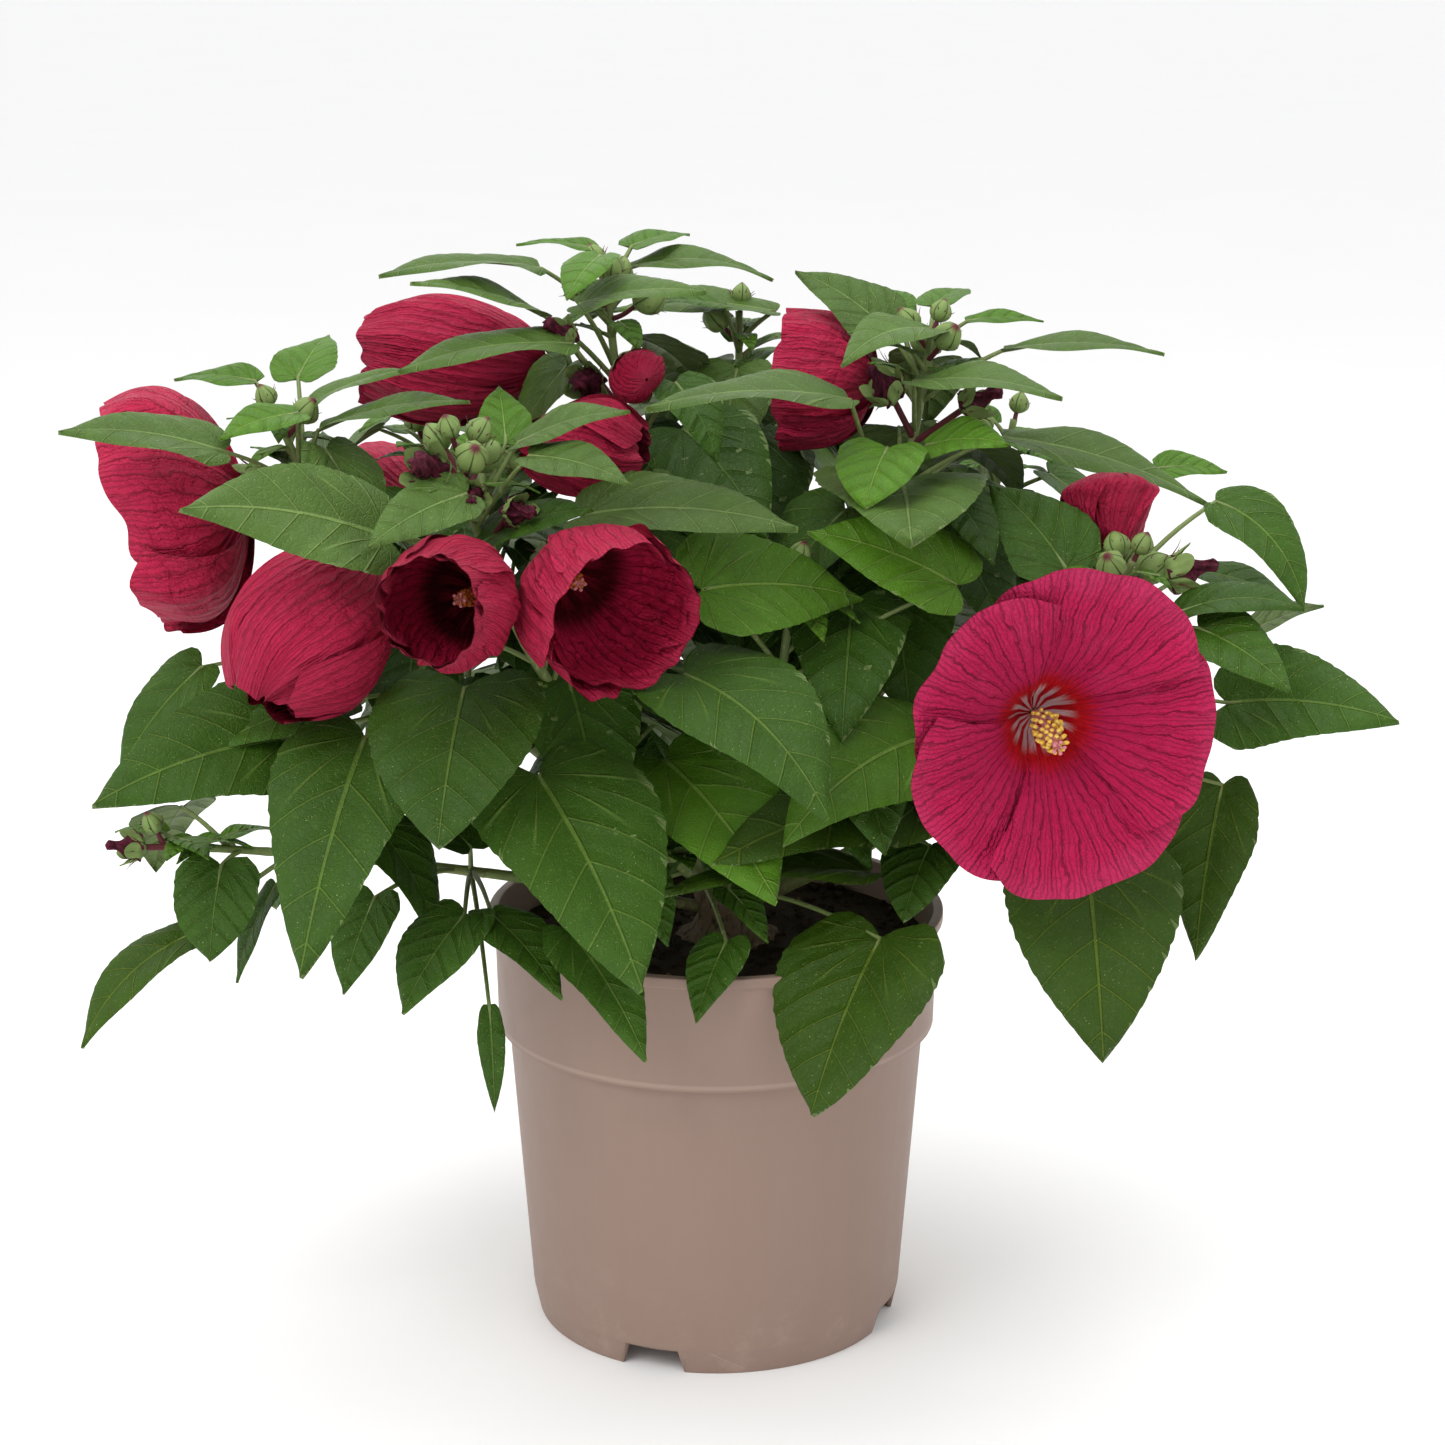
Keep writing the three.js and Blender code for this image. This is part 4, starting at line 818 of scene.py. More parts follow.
def leaf_patches(leaf, tone, coarse):
    """The two faces of a leaf as fine toothed sheets, creased along the veins, and its midrib."""
    _, _, _, length, width, _, _ = leaf
    half = width / 2
    narrow = np.clip((0.62 - width / length) / 0.2, 0, 1)
    fullness = 1.5 + 5 * np.clip(width / length - 0.72, 0, 0.15)
    teeth = COARSE_TEETH if coarse else next(count for least, count in TEETH if length > least)
    few = coarse or length < 50
    columns = np.array([0, 0.08, 0.3, 0.6, 0.85, 1] if few else [0, 0.05, 0.16, 0.32, 0.5, 0.68, 0.85, 1])
    across = np.concatenate([-columns[:0:-1], columns])[None, :]
    steps = np.arange(4 * teeth + 1)[:, None]
    run = steps / (4 * teeth)
    out = np.abs(across)
    lobes = -0.105 * np.sin(np.pi * np.clip(out / 0.9, 0, 1)) ** 0.8 * (1 - narrow)
    base = lobes + (0.1 - 0.04 * narrow) * np.clip(out - 0.72, 0, 1) ** 1.5 / 0.148
    share = base + (1 - base) * run
    uneven = 1 + 0.5 * np.sin(2.7 * steps + 40 * tone + 2 * np.sign(across))
    tooth = (steps % 4 / 4 - 0.4) * uneven
    reach = outline(share, narrow, fullness) * half * (1 + 0.030 * tooth * out ** 8)
    reach = reach * (1 + 0.03 * np.sin(5.5 * run + 6.28 * tone + np.sign(across)))
    wide = across * reach
    place = np.stack([wide / length, share, np.full(share.shape, tone)], axis=-1)
    rib = share - VEINS["slope"] * np.abs(wide) / length - VEINS["curve"] * (wide / length) ** 2
    rib = rib * VEINS["pairs"]
    between = 1 - np.abs(2 * (rib % 1) - 1) ** 2
    bulge = length * 0.015 * between * np.clip(out * 3, 0, 1) * (1 - out ** 6) * (1 - share * 0.6)
    crease = math.sin(math.radians(LEAF["fold"] * 0.8)) * (np.hypot(wide, 0.1 * half) - 0.1 * half)
    swell = 6.28 * tone
    ripple = length * 0.030 * out ** 2.4 * np.sin(8 * share + swell + np.sign(across) * 1.4) * (1.1 - share)
    droop = -0.10 * half * out ** 2.6
    point, _, side, face = blade_frame(leaf, share)
    level = (crease + ripple + droop + bulge)[..., None]
    top = point + side * wide[..., None] + face * level
    rib_depth = 0.9 * np.exp(-(wide / 1.2) ** 2) * (1 - share)
    under = top - face * (0.35 + rib_depth)[..., None] * (1 - out ** 20)[..., None]
    beneath = place + np.array([0, 0, -1.0])
    return [patch(top, place=place), patch(under[:, ::-1], place=beneath[:, ::-1])]


def petiole(shoot, leaf):
    """A leaf's stalk, from its stem to the foot of its blade, and on as the midrib's root."""
    foot = leaf[0]
    root = stalk_root(shoot, foot, PETIOLE["leave"])
    _, ahead, _, face = blade_frame(leaf, 0.0)
    t = np.linspace(0, 1, PETIOLE["points"])[:, None]
    bow = np.linalg.norm(foot - root) * PETIOLE["bow"] * np.sin(np.pi * t) * UP
    way = root + (foot - root) * t + bow
    way = np.concatenate([way, [foot + ahead * 4 - face * 0.5, foot + ahead * 12 - face * 1.1]])
    radii = np.concatenate([np.linspace(*PETIOLE["radii"], PETIOLE["points"]), [0.9, 0.45]])
    return tube(way, radii, PETIOLE["sides"], tone=1)


# Tones for leaves by where they grow: the old low ones, the usual, the young high ones, the big high ones
# with a paler greyish green that is painted sheen of the light on them, and the shaded ones inside.
LEAF_TONES = {
    "old": ((0.030, 0.074, 0.001, 1), (0.095, 0.155, 0.010, 1)),
    "full": ((0.031, 0.084, 0.004, 1), (0.100, 0.180, 0.024, 1)),
    "bright": ((0.062, 0.160, 0.006, 1), (0.160, 0.280, 0.040, 1)),
    "painted_sheen": ((0.064, 0.124, 0.020, 1), (0.16, 0.25, 0.062, 1)),
    "shaded": ((0.026, 0.074, 0.003, 1), (0.07, 0.14, 0.016, 1)),
}
UNDERSIDE = (0.150, 0.215, 0.070, 1)
SPECK = (0.50, 0.52, 0.22, 1)


def leaf_finish(tone_name, blade, vein):
    """Leaf skin: one plain green, with its veins, its finest net of veins and its dust as relief."""
    material, place = new_finish(f"leaf_{tone_name}", 0.5, 0.22)
    across, along, tone = place.mark().parts()
    out = abs(across)
    midrib = (out - 0.009 * (1.1 - along)).step(0.006, 0.0)
    side_rib = (along - VEINS["slope"] * out - VEINS["curve"] * out * out) * VEINS["pairs"]
    side_rib = abs(side_rib.fraction() - 0.5) * 2
    side_ribs = side_rib.step(0.90, 0.985) * out.step(0.46, 0.2) * along.step(0.12, 0.24)
    fan = abs((out.angle(along + 0.015) / 0.52).fraction() - 0.5) * 2
    fans = fan.step(0.86, 0.98) * (out * out + along * along).step(0.22, 0.03)
    ribs = midrib.most(side_ribs * 0.8).most(fans)
    net = place.node("ShaderNodeTexVoronoi", {"Vector": place, "Scale": 330}, output=0,
                     feature="DISTANCE_TO_EDGE").step(0.12, 0.015)
    cloud = place.noise(60, detail=3)
    under = tone.step(-0.01, -0.03)
    colour = (ribs * 0.8 + net * 0.12).least(1).mix(blade, vein)
    colour = (place.noise(1500, detail=1).step(0.735, 0.77) * 0.8).mix(colour, SPECK)
    colour = (under * 0.8).mix(colour, UNDERSIDE)
    colour = colour * (0.74 + 0.52 * cloud) * (0.84 + 0.32 * (tone + under).least(1))
    relief = side_rib.step(1.0, 0.4) * 0.7 - ribs * 0.8 - net * 0.16 + place.noise(1300, detail=2) * 0.12
    coat_with(material, colour, 0.44 + 0.18 * cloud, relief, 0.0012)
    return material


def tone_of(shoot_name, leaf, sort):
    """Which green a leaf has, by its sort, height, size and stem."""
    foot, length = leaf[0], leaf[3]
    if sort == "shaded":
        return "shaded"
    if sort == "young":
        return "bright"
    if foot[2] < 300:
        return "old" if length > 80 else "full"
    # Big leaves high up get a paler greyish green as painted sheen; small ones there are young and bright.
    if foot[2] > 425:
        return "painted_sheen" if length > 55 else "bright"
    young = shoot_name in ("right_back", "centre") and foot[1] > -100 and int(foot[0] + foot[1]) % 2 == 0
    return "bright" if young or length < 55 else "full"


blades = {tone_name: [] for tone_name in LEAF_TONES}
owners = {tone_name: set() for tone_name in LEAF_TONES}
stalks = [stem_part(shoot, shoot["leafy"] + STEM["overlap"], 1, STEM["leafy_rows"])
          for shoot in SHOOTS.values()]
for name, leaf, sort in standing:
    tone_name = tone_of(name, leaf, sort)
    blades[tone_name] += leaf_patches(leaf, luck.random(), coarse=sort == "shaded")
    owners[tone_name].add(f"foliage_{name}")
    stalks.append(petiole(SHOOTS[name], leaf))
for tone_name, patches in blades.items():
    join(f"leaves_{tone_name}", patches, leaf_finish(tone_name, *LEAF_TONES[tone_name]), "leaf",
         *sorted(owners[tone_name]))
masses = [f"foliage_{name}" for name in SHOOTS]
join("upper_stems_and_stalks", stalks, stem_skin, "stem", *masses)


# The buds and spent flowers: each stem ends in a head of fat ribbed buds in a ruff of thin
# bracts. Lower down stand pods and withered flowers, and one bud that is about to open.

BUD = {"length": 17, "radius": 7.5, "stalk": (1.5, 1.15), "spread": 17, "turn": 137.5, "least": 0.72,
       "gain": 0.5, "bracts": 9}
HEAD = {"top": 0.985, "deep": 0.07, "slope": 64, "lean": 44}
# Each row: the pod's foot x, y, z, the way it points, its length and radius.
PODS = {
    "back_high": ((-44, 8, 486, -70, 0, 32, 13), (-70, 0, 500, -140, 40, 20, 9),
                  (-60, 6, 480, -110, 10, 22, 10)),
    "front_left": ((-112, -118, 446, -80, 10, 20, 9), (-94, -116, 440, -50, 10, 20, 8),
                   (-126, -118, 456, -110, 30, 24, 12)),
    "right_back": ((88, 12, 470, -150, 50, 24, 11), (120, 10, 466, -20, 30, 24, 10)),
    "right": ((214, -44, 394, -6, 16, 28, 12),),
    "low_left": ((-276, -62, 264, -160, 10, 20, 9),),
}
OPENING_BUD = ("back_high", 0)
BUD_GREEN = (0.190, 0.275, 0.080, 1)
BUD_RIB = (0.050, 0.095, 0.022, 1)
BUD_TIP = (0.13, 0.022, 0.030, 1)
WITHERED = (0.115, 0.010, 0.030, 1)
WITHERED_DARK = (0.035, 0.004, 0.010, 1)


def even_shares(count):
    """Even steps from 0 to 1, one below the other."""
    return np.linspace(0, 1, count)[:, None]


def axes_of(way):
    """Two directions square to this one."""
    rough = UP if abs(way[2]) < 0.9 else np.array([1.0, 0, 0])
    across = unit(np.cross(rough, way))
    return across, np.cross(way, across)


def spoke(axes, angle):
    """The way out from an axis, at these angles round it."""
    angle = np.asarray(angle)[..., None]
    return np.cos(angle) * axes[0] + np.sin(angle) * axes[1]


def turned_round(foot, way, heights, radii, sides, shape, tone, twist=0):
    """A body turned round an axis. shape changes the radius round it, for ribs and folds."""
    angle = np.linspace(0, 2 * np.pi, sides, endpoint=False)[None, :]
    heights, radii = (np.asarray(values, float)[:, None] for values in (heights, radii))
    share = (heights - heights[0]) / (heights[-1] - heights[0])
    reach = radii * shape(angle, share)
    points = foot + heights[..., None] * way
    points = points + reach[..., None] * spoke(axes_of(way), angle + twist * share)
    place = np.stack([angle + 0 * share, share + 0 * angle, np.full(reach.shape, tone)], axis=-1)
    return patch(points, closed=True, place=place)


def bract_ruff(foot, way, radius, length, count, sideways):
    """The thin green bracts that stand in a ring under a bud or a flower."""
    ruff = []
    for i in range(count):
        out = spoke(axes_of(way), 2 * math.pi * (i + 0.3 * luck.random()) / count)
        far = length * (1.0 + 0.35 * luck.random())
        bent = sideways * (0.8 + 0.4 * luck.random())
        t = even_shares(5)
        line = foot + way * far * (t - 0.25 * t * t)
        line = line + out * (radius * np.minimum(1, 3 * t) + far * bent * t ** 1.4)
        ruff.append(tube(line, 0.62 * (1 - 0.86 * t[:, 0]), 5, tone=0.2))
    return ruff


def bud_ribs(angle, run):
    """Five fat ribs, with three fine ones on each."""
    return 1 + (0.075 * np.cos(5 * angle) + 0.02 * np.cos(15 * angle)) * np.sin(np.pi * run)


def bud_parts(root, foot, way, length, radius):
    """A closed bud on its stalk: five-ribbed, drawn to a dark tip."""
    share = np.array([0, 0.03, 0.08, 0.16, 0.28, 0.42, 0.56, 0.7, 0.82, 0.9, 0.96, 0.99, 1])
    width = np.array([0.1, 0.36, 0.56, 0.78, 0.95, 1, 0.93, 0.76, 0.53, 0.34, 0.17, 0.08, 0.01])
    body = turned_round(foot, way, share * length, width * radius, 30, bud_ribs, tone=luck.random())
    t = even_shares(8)
    sag = np.linalg.norm(foot - root) * 0.08 * np.sin(np.pi * t) * -UP
    stalk = tube(root + (foot + way * 0.6 - root) * t + sag, np.linspace(*BUD["stalk"], 8), 8, tone=0.2)
    ruff = bract_ruff(foot + way * 0.3, way, radius * 0.55, length * 0.62, BUD["bracts"], 0.42)
    return [body, stalk] + ruff


def sepals(foot, way, length, radius, open_by):
    """A green calyx of five pointed lobes, closed round its foot and open at the top."""
    angle = np.linspace(0, 2 * np.pi, 60, endpoint=False)[None, :]
    run = even_shares(16)
    lobe = np.abs(np.cos(2.5 * angle)) ** 0.8
    height = length * run * (0.52 + 0.48 * lobe)
    belly = np.sin(np.pi / 2 * np.minimum(1, 0.12 + 1.9 * run))
    width = radius * (belly + open_by * np.clip(run - 0.5, 0, 1) * lobe) + 0.25 * np.cos(15 * angle)
    points = foot + height[..., None] * way + width[..., None] * spoke(axes_of(way), angle)
    place = np.stack([angle + 0 * run, 0.75 * run + 0 * angle, np.full(width.shape, 0.6)], axis=-1)
    return patch(points, closed=True, place=place)


def wrapped(angle, run):
    """Petals wound round one another, each with its edge over the next."""
    return 1 + 0.13 * ((1.5 * angle / np.pi) % 1 - 0.5) * np.minimum(1, 5 * run) + 0.12 * np.cos(2 * angle)


def shrivelled(angle, run):
    """Deep uneven folds, as in a dead flower."""
    return 1 + 0.22 * np.sin(5 * angle + 3 * run) + 0.12 * np.sin(11 * angle - 5 * run)


greens, withered, opening = [], [], []
for name, shoot in SHOOTS.items():
    for i in range(shoot["buds"]):
        low = i / shoot["buds"]
        size = BUD["least"] + BUD["gain"] * low
        root = along_curve(shoot["route"], HEAD["top"] - HEAD["deep"] * low)
        way = direction(shoot["side"] + BUD["turn"] * i, HEAD["slope"] - HEAD["lean"] * low)
        foot = root + way * BUD["spread"] * (1 + low) / 2
        greens += bud_parts(root, foot, way, BUD["length"] * size, BUD["radius"] * size)
    for i, (x, y, z, heading, pitch, length, radius) in enumerate(PODS.get(name, ())):
        foot, way = np.array([x, y, z], float), direction(heading, pitch)
        root = stalk_root(shoot, foot, PETIOLE["leave"])
        t = even_shares(12)
        greens.append(tube(root + (foot + way * 2 - root) * t, np.linspace(1.7, 1.6, 12), 8, tone=0.2))
        greens.append(sepals(foot, way, length * 0.62, radius * 0.8, 0.7))
        greens += bract_ruff(foot, way, radius * 0.5, length * 0.5, BUD["bracts"], 0.5)
        heights = np.linspace(0.12, 1, 22) * length
        share = np.linspace(0, 1, 22)
        if (name, i) == OPENING_BUD:
            width = radius * np.sin(np.pi * np.clip(0.14 + 0.855 * share ** 1.2, 0, 0.998)) ** 0.7
            bud = turned_round(foot, way, heights, width, 60, wrapped, tone=0.5, twist=1.3)
            around, along, tone = bud["place"].T
            bud["place"] = np.stack([3.5 * np.abs(around % 2.1 - 1.05) + 4 * along, along, tone], axis=-1)
            opening.append(bud)
        else:
            width = radius * (0.62 - 0.42 * share + 0.12 * np.sin(7 * share + i))
            width[-2:] *= (0.6, 0.05)
            tone = luck.random()
            withered.append(turned_round(foot, way, heights, width, 44, shrivelled, tone=tone, twist=2.4))

bud_skin, place = new_finish("bud_skin", 0.62, 0.3)
around, along, tone = place.mark().parts()
seams = abs((around * (2.5 / math.pi)).fraction() - 0.5).step(0.06, 0.01) * along.step(0.02, 0.2)
down = place.noise(2600, detail=2)
colour = (seams * 0.9 + down.step(0.6, 0.8) * 0.12).least(1).mix(BUD_GREEN, BUD_RIB)
colour = (along.step(0.84, 0.97)).mix(colour, BUD_TIP) * (0.8 + 0.4 * place.noise(160, detail=3))
coat_with(bud_skin, colour, relief=down * 0.4 - seams, depth=0.0007)
join("buds_and_calyces", greens, bud_skin, "stem", *masses)

crumpled, place = new_finish("withered_petals", 0.75, 0.2)
folds = (place * (1, 1, 0.6)).noise(520, detail=5, roughness=0.65)
colour = folds.step(0.4, 0.62).mix(WITHERED_DARK, WITHERED)
coat_with(crumpled, colour, relief=folds, depth=0.0012)
join("spent_flowers", withered, crumpled, "petal", *(f"foliage_{name}" for name in PODS))


# The flowers: five broad crimson petals that overlap like a pinwheel round a bright red eye,
# some wide open, some cupped or rolled, each on its own stalk with a calyx and a ruff of bracts.
# The petals follow the same curve as the flower's solid.

COROLLA = {"throat": 7, "petals": 5, "calyx": 16, "calyx_radius": 9.5, "sepals": 16.6, "bracts": 10,
           "columns": 39, "rows": 29, "column_radii": (2.1, 1.1)}
PEDICEL = {"radii": (1.9, 2.3), "seat": 0.7, "behind": 0.3, "bow": 0.6}
# The stamens: how many, the turn from each to the next, the share of the column where the lowest
# stands and how far up it they spread, and the radii of a thread; then how long the threads are.
STAMENS = {"count": 78, "turn": 2.4, "first": 0.34, "spread": 0.62, "radii": (0.22, 0.2, 0.16)}
BRUSH = {"open": 6.4, "cupped": 3.6, "rolled": 3.6}
# A petal's inner and outer face: how deep it lies, and the mark by which its material knows it.
FACES = ((0, 0.0), (-0.45, -1.0))
# Each row: the flower's stem and finish, its foot x, y, z, the way it looks, the depth and radius of
# its mouth, and the point that its trumpet bends round; then how wide each petal fans, how far it
# rolls in over the next and how much it ruffles; and what isn't as usual.
BLOOM_FIELDS = ("shoot", "finish", "foot", "looks", "depth", "mouth", "belly", "fan", "roll", "ruffle")
USUAL_BLOOM = {"oval": 1, "uneven": 0.03, "curl": 0, "twist": 0, "lap": 1, "lip": 2.5, "column": 0.8}
BLOOM_ROWS = {
    "open_front_right": (
        "right", "open", (147, -116, 346), (-74, -3), 38, 80, (30, 35), 52, 0.0, 3.0,
        {"lip": 0, "uneven": 0.05}),
    "tube_front_left": (
        "front_left", "rolled", (-106, -122, 404), (-108, 5), 62, 29, (44, 28), 76, 0.46, 1.2,
        {"curl": 5, "lip": 4, "twist": 40, "lap": 1.3, "column": 0.42}),
    "cup_front": (
        "front_left", "cupped", (-72, -104, 412), (-60, -12), 66, 37, (46, 24), 60, 0.14, 2,
        {"oval": 0.95, "lap": 1.2, "twist": 16, "column": 0.3}),
    "folded_left": (
        "front_left", "cupped", (-164, -80, 410), (-128, -38), 92, 24, (64, 42), 76, 0.36, 3,
        {"oval": 0.95, "uneven": 0.09, "curl": 23, "twist": 46, "lap": 2.2, "column": 0.3}),
    "open_left": (
        "left", "cupped", (-232, -6, 430), (-174, -14), 58, 52, (80, 14), 58, 0.08, 3.4,
        {"uneven": 0.08, "lap": 1.6, "twist": 16, "column": 0.4}),
    "open_back_left": (
        "back_high", "cupped", (-88, 54, 482), (174, 2), 96, 24, (46, 32), 68, 0.2, 2.4,
        {"uneven": 0.08, "curl": 12, "twist": 30, "lap": 1.5, "column": 0.3}),
    "closing_middle": (
        "front_left", "rolled", (-92, -28, 455), (-6, -2), 60, 18, (36, 32), 72, 0.36, 1.8,
        {"uneven": 0.07, "curl": 13, "twist": 40, "lap": 1.3, "column": 0.3}),
    "open_back_right": (
        "right_back", "cupped", (78, 48, 474), (172, 2), 52, 35, (40, 6), 58, 0.15, 3,
        {"uneven": 0.08, "column": 0.4}),
    "upright_right": (
        "right", "cupped", (192, -27, 404), (96, 64), 38, 28, (22, 22), 64, 0.2, 2,
        {"curl": 24, "twist": 30, "column": 0.3}),
    "open_rear_right": ("rear_right", "open", (178, 134, 304), (60, 4), 38, 62, (30, 35), 48, 0.0, 2.4, {}),
    "cup_rear_left": (
        "rear_left", "cupped", (-158, 150, 384), (128, -6), 64, 40, (44, 26), 56, 0.1, 2,
        {"oval": 0.95}),
}
BLOOMS = {name: {**USUAL_BLOOM, **dict(zip(BLOOM_FIELDS, row)), **row[-1]}
          for name, row in BLOOM_ROWS.items()}


def profile(bloom, share):
    """The radius and height of a flower's trumpet at a share of its petals' length, and its slope."""
    rest = 1 - share
    belly_radius, belly_height = bloom["belly"]
    radius = rest * rest * COROLLA["throat"] + 2 * rest * share * belly_radius
    radius = radius + share * share * bloom["mouth"]
    height = 2 * rest * share * belly_height + share * share * bloom["depth"]
    widen = 2 * rest * (belly_radius - COROLLA["throat"]) + 2 * share * (bloom["mouth"] - belly_radius)
    climb = 2 * rest * belly_height + 2 * share * (bloom["depth"] - belly_height)
    length = np.hypot(widen, climb)
    return radius, height, -climb / length, widen / length


def petal_patches(bloom, k, tone):
    """The inner and outer face of one petal. Its left side lies over the petal before it."""
    way = direction(*bloom["looks"])
    across, over = axes_of(way)
    u = np.linspace(-1, 1, COROLLA["columns"])[None, :]
    run = even_shares(COROLLA["rows"])
    phase = 6.28 * tone
    share = run * (1 - 0.13 * np.abs(u) ** 3.4 - 0.006 * (1 + np.sin(13 * u + phase)) * run ** 4
                   - 0.012 * np.exp(-(u / 0.16) ** 2) - bloom["uneven"] * tone)
    fan = np.radians(38 + (bloom["fan"] - 38) * share)
    twist = math.radians(bloom["twist"])
    angle = 2 * math.pi * k / COROLLA["petals"] + u * fan + twist * share ** 1.5
    radius, height, inward, forward = profile(bloom, share)
    radius = np.minimum(radius, 1.8 + COROLLA["throat"] * share / 0.035)
    radius = np.maximum(radius - bloom["curl"] * np.clip((share - 0.66) / 0.34, 0, 1) ** 2, 1)
    radius = radius * (1 - bloom["roll"] * ((u + 1) / 2) ** 1.4 * share)
    edge = share ** 3
    lap = -u * (0.8 + 3.4 * share) * bloom["lap"]
    lip = -bloom["lip"] * np.clip((share - 0.84) / 0.16, 0, 1) ** 2
    hem = -1.8 * np.clip((np.abs(u) - 0.84) / 0.16, 0, 1) ** 2
    ruffle = bloom["ruffle"] * edge * (np.sin(4.2 * u + phase) + 0.4 * np.sin(11 * u - phase))
    folds = 1.1 * np.sin(9 * u + 2 * phase + 3 * share) + 0.4 * share ** 5 * np.sin(23 * u + phase)
    pleats = 0.9 * np.sin(17 * u - phase + 5 * share) * np.sin(9 * share + phase)
    hollow = -1.2 * (1 - u * u) * (1 - share)
    lift = lap + lip + hem + ruffle + share * (folds + pleats + hollow)
    veins = math.radians(6.5 if bloom["finish"] == "open" else 8.5)
    sheets = []
    for thick, mark in FACES:
        out = radius + inward * (lift + thick)
        up = height + forward * (lift + thick)
        points = (np.array(bloom["foot"], float) + up[..., None] * way
                  + out[..., None] * (np.cos(angle)[..., None] * across
                                      + bloom["oval"] * np.sin(angle)[..., None] * over))
        place = np.stack([u * fan / veins + 20 * k, share, np.full(share.shape, tone + mark)], axis=-1)
        sheets.append(patch(points[:, ::-1] if mark else points, place=place[:, ::-1] if mark else place))
    return sheets


# The crimsons of each shape of flower. In cupped and rolled flowers the eye and the streaks in the throat
# are painted shade, near black and dark red. In every flower the margin colour is also a painted highlight
# on the raised crinkles.
CRIMSONS = {
    "open": {"petal": (0.620, 0.011, 0.094, 1), "vein": (0.215, 0.001, 0.026, 1),
             "margin_and_highlight": (0.66, 0.045, 0.160, 1), "eye_and_throat_shade": (0.70, 0.003, 0.010, 1),
             "streak_and_throat_shade": (1.0, 0.66, 0.68, 1)},
    "cupped": {"petal": (0.640, 0.014, 0.078, 1), "vein": (0.180, 0.001, 0.014, 1),
               "margin_and_highlight": (0.70, 0.055, 0.130, 1), "eye_and_throat_shade": (0.100, 0.001, 0.006, 1),
               "streak_and_throat_shade": (0.30, 0.010, 0.030, 1)},
    "rolled": {"petal": (0.580, 0.011, 0.064, 1), "vein": (0.145, 0.001, 0.012, 1),
               "margin_and_highlight": (0.68, 0.090, 0.150, 1), "eye_and_throat_shade": (0.080, 0.001, 0.005, 1),
               "streak_and_throat_shade": (0.25, 0.010, 0.025, 1)},
}
PETAL_BACK = (0.640, 0.030, 0.095, 1)


def petal_finish(kind, petal, vein, margin_and_highlight, eye_and_throat_shade, streak_and_throat_shade):
    """Petal skin: crimson with dark veins that fan from its foot, and a paler crinkled margin, whose colour
    is also laid on the raised crinkles as a painted highlight. Its foot has the colour of the flower's eye,
    with paler streaks in the throat of an open flower; in cupped and rolled flowers the eye and the streaks
    are painted shade, near black and dark red."""
    material, place = new_finish(f"petal_{kind}", 0.6, 0.16)
    mark = place.mark()
    across, along, tone = mark.parts()
    waver = (mark * (0.5, 3.2, 0)).noise(1, detail=5, roughness=0.62)
    rib = abs((across + waver * 2.1).fraction() - 0.5) * 2
    fine = abs((across * 3 + waver * 4.1 + along * 1.2).fraction() - 0.5) * 2
    ribs = rib.step(0.80, 1.0) * along.step(0.05, 0.2) * along.step(1.12, 0.75) * (0.6 + waver)
    fines = fine.step(0.6, 1.0) * along.step(0.35, 0.75)
    pebbles = (mark * (3.4, 30, 0)).noise(1.6, detail=4, roughness=0.65)
    crumple = (mark * (0.4, 5, 0)).noise(1.1, detail=4, distortion=0.6)
    back = tone.step(-0.01, -0.03)
    front = 1 - back
    colour = (ribs * 0.7 + fines * 0.16 + pebbles.step(0.48, 0.8) * 0.26).least(1).mix(petal, vein)
    # Paler towards the rim, and a painted highlight on the raised crinkles, where the crumple also lifts
    # the relief.
    colour = (along.step(0.80, 1.0) * 0.5 + crumple.step(0.5, 0.8) * 0.3).least(1).mix(colour, margin_and_highlight)
    colour = (back * 0.45).mix(colour, PETAL_BACK)
    # The eye at the petal's foot; in cupped and rolled flowers this colour is painted shade.
    colour = ((along + rib * 0.06).step(0.40, 0.24) * front).mix(colour, eye_and_throat_shade)
    # Streaks in the throat: pale in an open flower, painted shade in a cupped or rolled one.
    star = abs((across * 0.27 + 0.3).fraction() - 0.5) * 2
    pale = star.step(0.66, 0.34) * (along + pebbles * 0.08).step(0.25, 0.13) * front
    colour = pale.mix(colour, streak_and_throat_shade)
    relief = pebbles * 1.2 - ribs * 0.6 - rib * (0.4 + waver) - fines * 0.5 + crumple * 6
    coat_with(material, colour, 0.48 + 0.2 * pebbles, relief, 0.0026)
    return material


def flower_stalk(bloom, foot, way):
    """The stalk from the stem to the calyx, bowed so that it comes in from behind."""
    end = foot - way * COROLLA["calyx"] * PEDICEL["seat"]
    root = stalk_root(SHOOTS[bloom["shoot"]], end, PETIOLE["leave"])
    behind = foot - way * (COROLLA["calyx"] + PEDICEL["behind"] * np.linalg.norm(end - root))
    bow = root + (behind - root) * PEDICEL["bow"]
    line = along_curve((root, bow, foot - way * (COROLLA["calyx"] + 8), end), np.linspace(0, 1, 20))
    return tube(line, np.linspace(*PEDICEL["radii"], 20), 10, tone=1)


